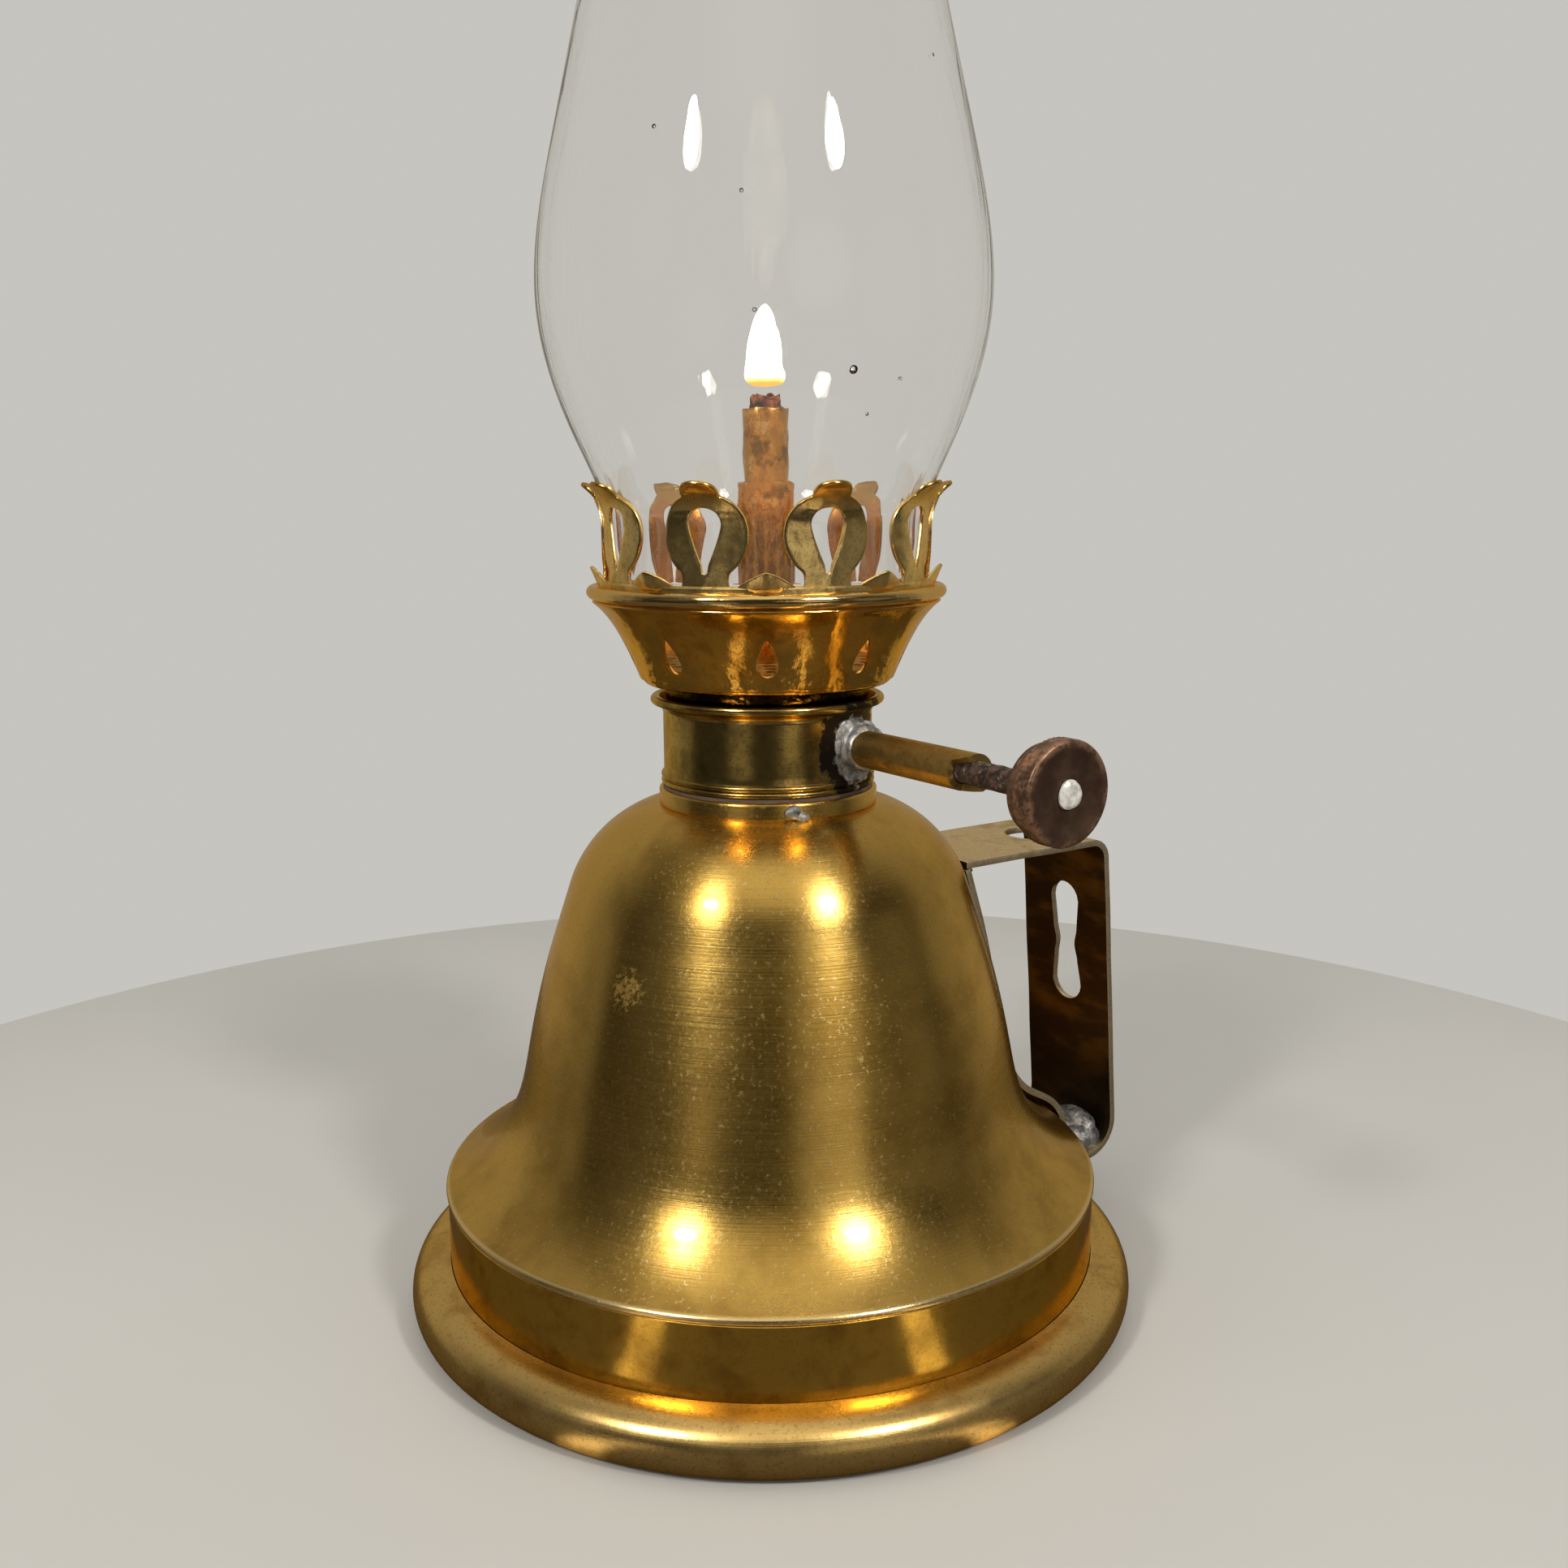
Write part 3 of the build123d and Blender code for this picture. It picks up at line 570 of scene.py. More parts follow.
def solder_look():
    """Grey soft solder, smeared and stained with dark flux."""
    look = Look("solder", metallic=0.85)
    smear = look.noise((420.0, 420.0, 300.0), 5.0, 0.65, distortion=1.2)
    pits = look.noise(1500.0, 3.0, 0.7)
    base = look.mix(look.span(smear, 0.38, 0.62), (0.20, 0.20, 0.21), (0.62, 0.61, 0.59))
    base = look.spots(base, (0.06, 0.05, 0.04), 360.0, 0.56, 0.68, 0.85, 5.0, 0.7)
    return look.set(base_color=base, roughness=look.span(pits, 0.3, 0.7, 0.4, 0.62),
                    normal=look.bump(pits, 0.03, look.bump(smear, 0.06)))


def knob_look():
    """Oxidised brown discs, rubbed to copper tones on their milled edges and their backs."""
    look = Look("knob_brass", metallic=0.75)
    cloud = look.noise(380.0, 5.0, 0.6)
    fine = look.noise(1900.0, 3.0, 0.7)
    face = look.mix(look.span(cloud, 0.35, 0.7), (0.085, 0.046, 0.030), (0.125, 0.070, 0.044))
    edge = look.spots((0.15, 0.08, 0.05), (0.42, 0.235, 0.145), 500.0, 0.42, 0.6, 1.0, 4.0, 0.6)
    low, high = cad_size("winder_shaft")
    centre = (low + high) / 2 * MM
    away = look.vector("SUBTRACT", look.places["Object"], (centre.x, 0.0, centre.z))
    far = look.vector("LENGTH", look.vector("MULTIPLY", away, (1.0, 0.0, 1.0)), output="Value")
    radius, _, end = cad_round("knob_front")
    rim = look.span(far, (radius - 1.1) * MM, (radius - 0.4) * MM, 0.0, 0.75)
    back = look.span(look.axis("Y"), (end - 0.35) * MM, (end + 0.1) * MM, 0.0, 0.35)
    share = look.calc("MULTIPLY", look.calc("MAXIMUM", rim, back), look.span(fine, 0.3, 0.55))
    return look.set(base_color=look.mix(share, face, edge), roughness=look.span(cloud, 0.3, 0.7, 0.34, 0.52),
                    normal=look.bump(fine, 0.012))


def corroded_look():
    look = Look("corroded_steel", metallic=0.55)
    scale = look.noise(900.0, 6.0, 0.75, distortion=0.6)
    base = look.mix(look.span(scale, 0.4, 0.65), (0.032, 0.022, 0.019), (0.16, 0.095, 0.065))
    base = look.spots(base, (0.30, 0.26, 0.24), 1500.0, 0.58, 0.68, 0.7, 4.0)
    return look.set(base_color=base, roughness=look.span(scale, 0.3, 0.7, 0.4, 0.75),
                    normal=look.bump(scale, 0.22))


def rivet_look():
    look = Look("rivet_steel", metallic=0.35)
    wear = look.noise(1400.0, 5.0, 0.7)
    base = look.mix(look.span(wear, 0.4, 0.66), (0.92, 0.90, 0.85), (0.55, 0.51, 0.46))
    return look.set(base_color=base, roughness=look.span(wear, 0.3, 0.7, 0.25, 0.45),
                    normal=look.bump(wear, 0.06))


def fibre_look():
    look = Look("fibre", roughness=0.85)
    felt = look.noise((900.0, 900.0, 2600.0), 5.0, 0.7)
    base = look.mix(felt, (0.05, 0.033, 0.022), (0.15, 0.10, 0.065))
    return look.set(base_color=base, normal=look.bump(felt, 0.08))


def cotton_look():
    """Braided cotton, oily below and charred red-brown at its lit end."""
    look = Look("cotton", roughness=0.9)
    yarn = look.noise(2200.0, 4.0, 0.7)
    top = cad_size("wick")[1].z * MM
    cloth = look.mix(yarn, (0.42, 0.33, 0.20), (0.66, 0.57, 0.41))
    char = look.mix(look.span(yarn, 0.35, 0.65), (0.09, 0.025, 0.012), (0.34, 0.115, 0.06))
    soot = look.spots(char, (0.02, 0.014, 0.012), 1100.0, 0.5, 0.62)
    burnt = look.span(look.plus(look.axis("Z"), look.noise(700.0), 0.0016), top - 0.0032, top - 0.0015)
    return look.set(base_color=look.mix(burnt, cloth, soot), normal=look.bump(yarn, 0.1))


def glass_look():
    """Clear blown glass that lets lamplight through, with faint streaks of uneven thickness."""
    look = Look("clear_glass", base_color=(0.99, 0.985, 0.97), roughness=0.0, ior=1.5, transmission_weight=1.0)
    look.set(normal=look.bump(look.noise((120.0, 120.0, 14.0), 3.0, 0.5, distortion=0.5), 0.10))
    rays = look.node("LightPath").outputs
    return look.mix_clear(look.calc("MAXIMUM", rays["Is Shadow Ray"], rays["Is Diffuse Ray"]), (0.96, 0.97, 0.96))


def flame_span():
    """The flame's lowest and highest points, from the top of the wick."""
    top = cad_size("wick")[1].z
    return top + 1.3, top + 10.6


def flame_look():
    """A white-hot flame with an orange foot, thin at its edges."""
    look = Look("flame", base_color=(0.0, 0.0, 0.0), roughness=1.0, specular_ior_level=0.0)
    low, high = flame_span()
    height = look.axis("Z")
    colour = look.mix(look.span(height, low * MM, (low + (high - low) * 0.22) * MM),
                      (1.0, 0.40, 0.08), (1.0, 0.86, 0.62))
    colour = look.mix(look.span(height, (high - 2.2) * MM, high * MM), colour, (1.0, 0.62, 0.28))
    edge = look.node("LayerWeight", {"Blend": 0.35}).outputs["Facing"]
    look.set(emission_color=colour, emission_strength=look.span(height, low * MM, (low + 1.2) * MM, 1.6, 9.0))
    return look.mix_clear(look.span(edge, 0.55, 1.0, 0.0, 0.85))


looks = {look.name: look for look in (
    bell_look(), band_look(), burner_look(), gallery_look(), handle_look(), crown_look(), wick_tube_look(),
    solder_look(), knob_look(), corroded_look(), rivet_look(), fibre_look(), cotton_look(), glass_look(),
    flame_look(),
    brass("foot_brass", (0.78, 0.53, 0.19), (0.52, 0.32, 0.10), 0.20, amount=0.4, speckle=0.4, brushed=0.8,
          relief=0.015),
    brass("inner_brass", (0.42, 0.28, 0.10), (0.22, 0.13, 0.05), 0.45, patches=160.0, amount=0.6, speckle=0.5,
          relief=0.03),
    brass("tube_brass", (0.50, 0.345, 0.115), (0.33, 0.205, 0.055), 0.42, patches=260.0, speckle=0.4,
          relief=0.03),
)}


def finish_piece(piece, body, slot, *replaced):
    """Gives a piece its material, its body and the CAD nodes that it stands for."""
    piece.data.materials.clear()
    piece.data.materials.append(looks[slot].material)
    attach(piece, body)
    if replaced:
        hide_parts(*replaced)


# ------------------------------------------------------------------ font and foot

def make_bell():
    """Spun bell with a lip, a flared wall, a round shoulder and a seat for the collar."""
    low, high = cad_size("font_shell")
    mouth, seat, seat_slope = 12.75, (19.3, 63.0), (-0.83, 0.56)
    edge = arc((high.x - 0.5, low.z + 0.5), 0.5, -90, 65, 10)
    wall = bell_wall(edge[-1])
    wall += smooth([BELL_WALL[-1], (23.3, 59.0), seat], 16, start=BELL_END, end=seat_slope)[1:]
    wall += smooth([seat, (16.6, 64.5), (14.4, high.z)], 8, start=seat_slope, end=(-1, 0.22))[1:]
    outline = edge[:-1] + wall + [(mouth, high.z), (mouth, high.z - SHEET)]
    outline += shifted(wall, SHEET)[::-1] + [(high.x - SHEET, low.z)]
    finish_piece(turned("font_bell", outline, 288), "font", "bell_brass", "font_shell")


def make_foot():
    """Polished band and the hollow half-round ring under it."""
    low, high = cad_size("foot_band")
    r = high.x
    band = column(r, low.z, high.z, 12)[:-1]
    band += [(r, high.z - 0.1), (r - 0.1, high.z), (r - SHEET, high.z), (r - SHEET, low.z)]
    finish_piece(turned("base_band", band, 256), "font", "band_brass", "foot_band")
    _, high = cad_size("foot_ring")
    roll = smooth([(44.7, 0.0), (46.5, 1.5), (high.x, 3.5), (46.0, 5.8), (43.0, 7.05)], 34,
                  start=(1, 0.5), end=(-1, 0.1))
    roll += [(r + 0.55, 7.12), (r + 0.08, high.z)]
    ring = roll + shifted(roll, SHEET)[::-1]
    finish_piece(turned("base_ring", ring, 256), "font", "foot_brass", "foot_ring")


def make_collar():
    """Threaded collar with a soft upper edge."""
    low, high = cad_size("font_collar")
    r, seat, sleeve, bore, soft = high.x, high.z - 2.1, 12.7, 11.8, 0.4
    outline = [(sleeve, low.z), (sleeve, seat), (r - 0.1, seat), (r, seat + 0.15)]
    outline += arc((r - soft, high.z - soft), soft, 0, 90, 5) + [(bore + 0.2, high.z)]
    outline += column(bore, high.z - 0.1, low.z, 40)

    def thread(angle, radius, height):
        return radius + THREAD_DEPTH * screw(angle, height) * (radius <= bore + 0.05), height

    finish_piece(turned("collar", outline, 192, shape=thread), "font", "bell_brass", "font_collar")


# ------------------------------------------------------------------ handle

def strap_line():
    """Middle line of the strap in the XZ plane: arm, plate, curl and the run up the bell."""
    low, high = cad_size("handle_strap")
    arm, bend, curl_radius = high.z - STRAP / 2, 2.6, 4.75
    foot, top = (high.x - STRAP / 2, low.z + 5.6), 52.3 - STRAP / 2
    lean = atan2(foot[0] - top, arm - foot[1])
    bend_start = top - bend * tan(pi / 4 - lean / 2)
    corner = arc((bend_start, arm - bend), bend, 90, -degrees(lean), 10)
    x, z = corner[-1]
    end = (x + (z - foot[1]) * tan(lean), foot[1])
    centre = (end[0] - curl_radius * cos(lean), end[1] - curl_radius * sin(lean))
    curl = arc(centre, curl_radius, degrees(lean), degrees(lean) - 180, 20)
    (x, z), (last_x, last_z) = curl[-2:]
    step = hypot(last_x - x, last_z - z)
    ahead = (last_x + (last_x - x) / step * 1.2, last_z + (last_z - z) / step * 1.2)
    run = shifted(bell_wall((42.2, 17.2)), -0.56)
    picked = [run[round(share * (len(run) - 1))] for share in (0.0, 0.12, 0.26, 0.44, 0.64, 0.82, 0.97)]
    climb = smooth([curl[-1], ahead, (44.6, 15.0)] + picked, 60)
    return (straight((low.x + 0.15, arm), (bend_start, arm), 12)[:-1] + corner
            + straight(corner[-1], end, 20)[1:-1] + curl + climb[1:])


def make_handle():
    """One strap bent into a loop, with a peanut slot in its plate and a hole in its arm."""
    line = np.array(strap_line())
    lengths = lengths_along(line)
    half = STRAP_WIDTH / 2

    def place(across, length):
        x, z = (np.interp(length, lengths, line[:, axis]) for axis in (0, 1))
        worn = 0.18 * noise.noise(Vector((length * 0.13, across * 0.05, 4.0)))
        width = 1 + 0.012 * noise.noise(Vector((length * 0.09, 0, 9.0)))
        return x + worn * 0.4, across * width, z + worn * 0.3

    top = next(i for i, (x, z) in enumerate(line) if x > 51 and z < 52)

    def length_at(height):
        """How far along the strap a height on its plate is."""
        return lengths[top] + (line[top][1] - height)

    slot_top, slot_bottom, up_radius, low_radius, waist = 46.9, 28.6, 2.8, 2.95, 1.9
    up_centre, low_centre = length_at(slot_top - up_radius), length_at(slot_bottom + low_radius)
    slot_middle = (up_centre + low_centre) / 2
    hole_middle = 45.5 - cad_size("handle_strap")[0].x - 0.15

    def lobe(across, length, start, reach, wide, narrow=2.3):
        """Distance from the outline of a rounded wedge along the strap."""
        share = limited((length - start) / reach)
        return hypot(across, length - start - reach * share) - wide - (narrow - wide) * share

    def in_slot(across, length):
        lobes = min(lobe(across, length, up_centre, 3.9, up_radius),
                    lobe(across, length, low_centre, -3.45, low_radius))
        between = max(abs(across) - waist, abs(length - slot_middle) - 5.0)
        blend = max(0.9 - abs(lobes - between), 0) / 0.9
        return min(lobes, between) - blend * blend * 0.22 < 0

    def in_hole(across, length):
        return hypot(across, length - hole_middle) < 4.0

    def rows(start, end):
        return max(1, round((end - start) / 0.8))

    def plain(start, end):
        """The strap between two lengths."""
        return grid(16, rows(start, end), lambda u, v: place(-half + STRAP_WIDTH * u, start + (end - start) * v))

    def pierced(start, end, inside, middle):
        """The strap between two lengths, with a hole in it."""
        outer = border(half, start, end, 16, rows(start, end))
        inner = outline_of(inside, (0.0, middle), [(a, b - middle) for a, b in outer])
        return patch(outer, inner, 7, place)

    hole_start, hole_end = hole_middle - 6.0, hole_middle + 4.35
    slot_start, slot_end = length_at(slot_top) - 3.0, length_at(slot_bottom) + 3.0
    strap = joined([
        plain(0.0, hole_start), pierced(hole_start, hole_end, in_hole, hole_middle), plain(hole_end, slot_start),
        pierced(slot_start, slot_end, in_slot, slot_middle), plain(slot_end, lengths[-1]),
    ])
    finish_piece(thickened("handle", strap, STRAP, edge=0.16), "font", "handle_brass", "handle_strap")


def make_handle_solder():
    """Solder in the curl, smeared on the plate, and a bead under the arm."""
    low, high = cad_size("handle_foot_solder")
    middle, half = (low + high) / 2, (high.x - low.x) / 2
    balls = []
    for i, y in enumerate(np.linspace(low.y + 1.5, high.y - 1.5, 9)):
        wobble = 0.5 * noise.noise(Vector((i * 0.6, 2.0, 0.0)))
        balls.append(((middle.x - 0.1, y, middle.z - 0.9 + wobble), (half - 0.25, 2.1, 2.1 + wobble)))
    balls += [((middle.x + 1.7, -3.5, middle.z + 0.9), (2.3, 4.0, 1.7)),
              ((middle.x - 1.6, 0.5, middle.z + 0.9), (2.2, 6.0, 1.4))]
    finish_piece(lump("curl_solder", balls, 0.22, 0.22, 3.0), "font", "solder", "handle_foot_solder")
    low, high = cad_size("handle_root_solder")
    middle = (low + high) / 2
    balls = [((middle.x - 0.3, y, middle.z + 0.25), (0.75, 1.7, 0.6))
             for y in np.linspace(low.y + 1.0, high.y - 1.0, 6)]
    finish_piece(lump("arm_solder", balls, 0.18, 0.15, 8.0), "font", "solder", "handle_root_solder")


# ------------------------------------------------------------------ burner

def make_burner():
    """Spun can with two beads at its foot and a flared, rolled rim."""
    low, high = cad_size("burner_base")
    r, rim, floor, wall, skirt = CAN_RADIUS, high.x, low.z, 0.65, 11.77
    outline = [(r - 0.4, floor), (r, floor + 0.05)]
    outline += arc((r, floor + 0.42), 0.36, -80, 80, 6) + arc((r, floor + 1.18), 0.36, -80, 80, 6)
    outline += column(r, floor + 1.7, high.z - 2.3, 8)
    outline += smooth([(r, high.z - 2.2), (r + 0.35, high.z - 1.5), (rim - 0.55, high.z - 1.12)], 6, start=(0, 1))
    outline += arc((rim - 0.55, high.z - 0.56), 0.55, -80, 90, 8)
    outline += [(rim - 1.1, high.z - 0.15), (r + 0.1, high.z - 1.7), (r - wall, high.z - 2.4)]
    outline += [(r - wall, floor + wall), (skirt, floor + wall), (skirt, floor)]
    finish_piece(turned("burner_can", outline, 224), "burner", "burner_brass", "burner_base")


def make_thread():
    """Skirt with its screw thread."""
    low, high = cad_size("burner_thread")
    crest, wall = high.x, 0.8
    outline = column(crest, low.z, high.z, 60) + [(crest - wall, high.z), (crest - wall, low.z)]

    def thread(angle, radius, height):
        fade = limited(min((high.z - height) / 1.2, (height - low.z) / 0.6 + 0.3))
        return radius - THREAD_DEPTH * screw(angle, height) * fade * (radius >= crest - 0.05), height

    finish_piece(turned("screw_skirt", outline, 192, shape=thread), "burner", "inner_brass", "burner_thread")


def make_wick_tubes():
    """Rolled wick tube with its open seam, and the sleeve round its lower part."""
    low, high = cad_size("wick_tube")
    tube, bore, seam = high.x, 2.5, radians(225)

    def rolled(angle, radius, height):
        gap = (angle - seam + pi) % (2 * pi) - pi
        dent = 0.16 * np.exp(-(gap / 0.07) ** 2) * (radius > bore + 0.1)
        lift = 0.22 * ripple(angle, 2, 7.0) * (height > high.z - 0.4)
        return radius - dent + 0.05 * ripple(angle, 1, height * 0.35), height + lift

    outline = column(tube - 0.05, low.z, high.z - 0.2, 44)
    outline += [(tube - 0.12, high.z - 0.05), (bore + 0.08, high.z - 0.05)]
    outline += column(bore + 0.03, high.z - 0.25, low.z, 8)
    finish_piece(turned("wick_pipe", outline, 120, shape=rolled), "burner", "wick_tube_brass", "wick_tube")
    low, high = cad_size("wick_tube_sleeve")
    r, bore = high.x, tube + 0.02
    outline = column(r, low.z, high.z - 0.15, 20) + [(r - 0.15, high.z), (bore, high.z), (bore, low.z)]

    def worn(angle, radius, height):
        swell = 0.06 * ripple(angle, 1.2, height * 0.3) * (radius > bore + 0.2)
        return radius + swell, height + 0.3 * ripple(angle, 1.5, 3.0) * (height > high.z - 0.3)

    finish_piece(turned("pipe_sleeve", outline, 96, shape=worn), "burner", "wick_tube_brass", "wick_tube_sleeve")


def finish_on_winder(name, outline, segments, shape, body, slot, node):
    """Turns an outline about the winder's axis, with its heights along -Y from the node's near end."""
    low, high = cad_size("winder_shaft")
    centre = (low + high) / 2
    piece = turned(name, outline, segments, shape=shape)
    move = Matrix.Translation(Vector((centre.x, cad_round(node)[2], centre.z)) * MM)
    piece.data.transform(move @ Matrix.Rotation(radians(90), 4, "X"))
    finish_piece(piece, body, slot, node)


def make_winder():
    """Tube with its cut-away end, the corroded shaft and the two-disc knob."""
    r, long_side, _ = cad_round("winder_tube")
    bore, short_side, cut_side = 1.45, long_side - 2.4, 205

    def cut(angle, radius, height):
        if height < short_side - 0.01:
            return radius, height
        edge = limited((abs((degrees(angle) - cut_side + 180) % 360 - 180) - 62) / 26)
        ragged = 0.12 * ripple(angle, 3, 1.0)
        return radius, short_side + (height - short_side) * edge + ragged * (1 - edge)

    outline = column(r, 0.0, short_side, 18) + column(r, short_side, long_side, 8)[1:]
    outline += column(bore, long_side, short_side, 8) + [(bore, 0)]
    finish_on_winder("winder_pipe", outline, 96, cut, "burner", "tube_brass", "winder_tube")

    r, length, _ = cad_round("winder_shaft")

    def pitted(angle, radius, height):
        bare = limited((height - 37.0) / 1.5)
        return radius * (1 + 0.10 * ripple(angle, 2, height * 0.8) * bare) + 0.12 * bare, height

    outline = [(0.02, 0.0), (r - 0.1, 0.0)] + column(r - 0.02, 0.1, length - 0.1, 60) + [(0.02, length)]
    finish_on_winder("shaft", outline, 48, pitted, "winder", "corroded_steel", "winder_shaft")

    for name, node, dome, depth, teeth, back in (
        ("knob_small_disc", "knob_back", 0.5, 0.0, 48, 0.9), ("knob_large_disc", "knob_front", 0.3, 0.07, 56, 0.4)
    ):
        r, thick, _ = cad_round(node)

        def milled(angle, radius, height, r=r, thick=thick, teeth=teeth, depth=depth):
            near_edge = limited((radius - r + 0.35) / 0.3) * (height < thick - 0.5)
            return radius - depth * near_edge * (0.5 + 0.5 * cos(angle * teeth)), height

        outline = [(0.9, 0.0), (r * 0.7, 0.0)] + arc((r - back, back), back, -90, 0, 6)
        outline += arc((r - 0.45, thick - 0.45), 0.45, 0, 90, 6) + [(r * 0.82, thick), (r * 0.78, thick - 0.1)]
        outline += [(r * 0.5, thick - 0.12 + dome * 0.1), (0.9, thick - 0.1)]
        finish_on_winder(name, outline, teeth * 6, milled, "winder", "knob_brass", node)

    r, thick, _ = cad_round("knob_rivet")

    def hammered(angle, radius, height):
        dent = 0.12 * ripple(angle, radius * 1.4, 5.0) * (height > 0.2)
        return radius * (1 + 0.04 * cos(3 * angle + 1)), height + dent

    outline = [(0.02, 0.0), (r, 0.0)] + smooth([(r, thick * 0.4), (r * 0.8, thick * 0.92), (0.3, thick)], 10)
    finish_on_winder("rivet", outline + [(0.02, thick)], 64, hammered, "winder", "rivet_steel", "knob_rivet")


def make_winder_solder():
    """A blob of solder on the collar, and solder smeared round the winder tube's root and over the can."""
    blob = [((-4.75, -12.9, 66.2), (1.3, 0.6, 0.9)), ((-3.6, -13.3, 65.6), (0.9, 0.5, 0.6))]
    finish_piece(lump("collar_solder", blob, 0.14, 0.12, 5.0), "font", "solder")
    low, high = cad_size("winder_solder")
    x, z = (low.x + high.x) / 2, (low.z + high.z) / 2
    balls = []
    for dx, dz, *radii in ((0.0, 0.1, 2.9, 1.3, 3.1), (-2.0, 0.6, 2.2, 0.6, 3.0), (-0.8, -2.6, 2.4, 0.6, 2.2),
                           (2.0, 0.4, 2.0, 0.6, 2.6)):
        depth = (CAN_RADIUS ** 2 - (x + dx) ** 2) ** 0.5
        balls.append(((x + dx, -depth - 0.02, z + dz), radii))
    balls.append(((x, -CAN_RADIUS - 0.9, z), (2.9, 1.6, 2.9)))
    finish_piece(lump("root_solder", balls, 0.16, 0.14, 1.0), "burner", "solder", "winder_solder")


# ------------------------------------------------------------------ wick and flame

def make_wick():
    """Braided wick with a ragged, charred end."""
    low, high = cad_size("wick")
    r, rows = high.x - 0.08, 330

    def braided(angle, radius, height):
        weave = 0.13 * max(sin(angle * 5 + height * 2.4), sin(angle * 5 - height * 2.4))
        top = max(0.0, (height - high.z + 2.2) / 2.2)
        spot = Vector((cos(angle) * radius * 0.9, sin(angle) * radius * 0.9, height * 1.1))
        ragged = top * (noise.noise(spot) + 0.6 * noise.noise(spot * 2.3))
        return radius * (1 - 0.16 * top) + (weave + 0.28 * ragged) * min(1.0, radius / r), height + 0.7 * ragged

    outline = [(0.02, low.z), (r - 0.2, low.z)] + column(r - 0.15, low.z + 0.2, high.z - 0.2, rows)[:-1]
    outline += [(r * 0.85, high.z - 0.1), (r * 0.6, high.z), (r * 0.3, high.z - 0.1), (0.02, high.z - 0.1)]
    finish_piece(turned("braided_wick", outline, 60, shape=braided), "wick", "cotton", "wick")


def make_flame():
    """Flame that floats just above the wick and rides with it."""
    low, high = flame_span()
    size = high - low
    outline = smooth([
        (0.02, low), (2.0, low + 0.02), (2.26, low + 0.3), (2.28, low + 0.22 * size), (2.0, low + 0.48 * size),
        (1.4, low + 0.75 * size), (0.6, low + 0.94 * size), (0.02, high),
    ], 60)

    def flicker(angle, radius, height):
        share = (height - low) / size
        sway = 0.14 * sin(share * 3.0) * cos(angle - 1.1) * share
        return max(0.0, radius + sway * min(1, radius)), height

    finish_piece(turned("flame", outline, 64, shape=flicker), "wick", "flame")


# ------------------------------------------------------------------ gallery

def make_bowl():
    """Flared bowl with drop-shaped vents, a plug below and a rolled rim above."""
    wall = np.array(smooth([(15.6, 81.1), (17.4, 85.2), (21.4, 90.7)], 26, start=(0.4, 1), end=(1, 0.75)))
    lengths = lengths_along(wall)
    mean = 17.6

    def place(u, v, angle):
        radius, height = (np.interp(v, lengths, wall[:, axis]) for axis in (0, 1))
        return around(radius, angle + u / mean, height)

    vent_length = np.interp(84.9, wall[:, 1], lengths)
    vent_radius, vent_height, middle = 1.2, 3.4, vent_length - 0.4

    def in_vent(u, v):
        y = v - vent_length + 0.9
        if y < 0:
            return hypot(u, y * 0.8) < vent_radius
        return y < vent_height and abs(u) < vent_radius * (1 - (y / vent_height) ** 1.5)

    outer = border(mean * GALLERY_PITCH / 2, 0.0, lengths[-1], 24, 22)
    inner = outline_of(in_vent, (0.0, middle), [(a, b - middle) for a, b in outer])
    bowl = round_gallery(VENT_ANGLE, lambda angle, _: patch(outer, inner, 9, lambda u, v: place(u, v, angle)))
    finish_piece(thickened("bowl", bowl, 0.5), "gallery", "gallery_brass", "gallery_bowl")

    low, _ = cad_size("gallery_bowl")
    plug = 12.35
    heel = [(plug, low.z), (plug, 77.6), (12.8, 79.1), (12.8, 80.1)] + arc((13.0, 80.1), 0.2, 180, 90, 3)
    heel += [(14.4, 80.3)] + arc((14.6, 81.3), 1.0, -90, -15, 8) + [(15.62, 81.15), (15.1, 81.3), (14.6, 80.85)]
    heel += [(12.3, 80.8), (12.3, 79.3), (plug - 0.5, 77.7), (plug - 0.5, low.z)]
    finish_piece(turned("bowl_heel", heel, 224), "gallery", "gallery_brass")
    bead = arc((21.4, 91.7), 0.82, -120, 200, 18)
    finish_piece(turned("bowl_rim", bead + [(20.9, 91.0)], 224), "gallery", "gallery_brass")


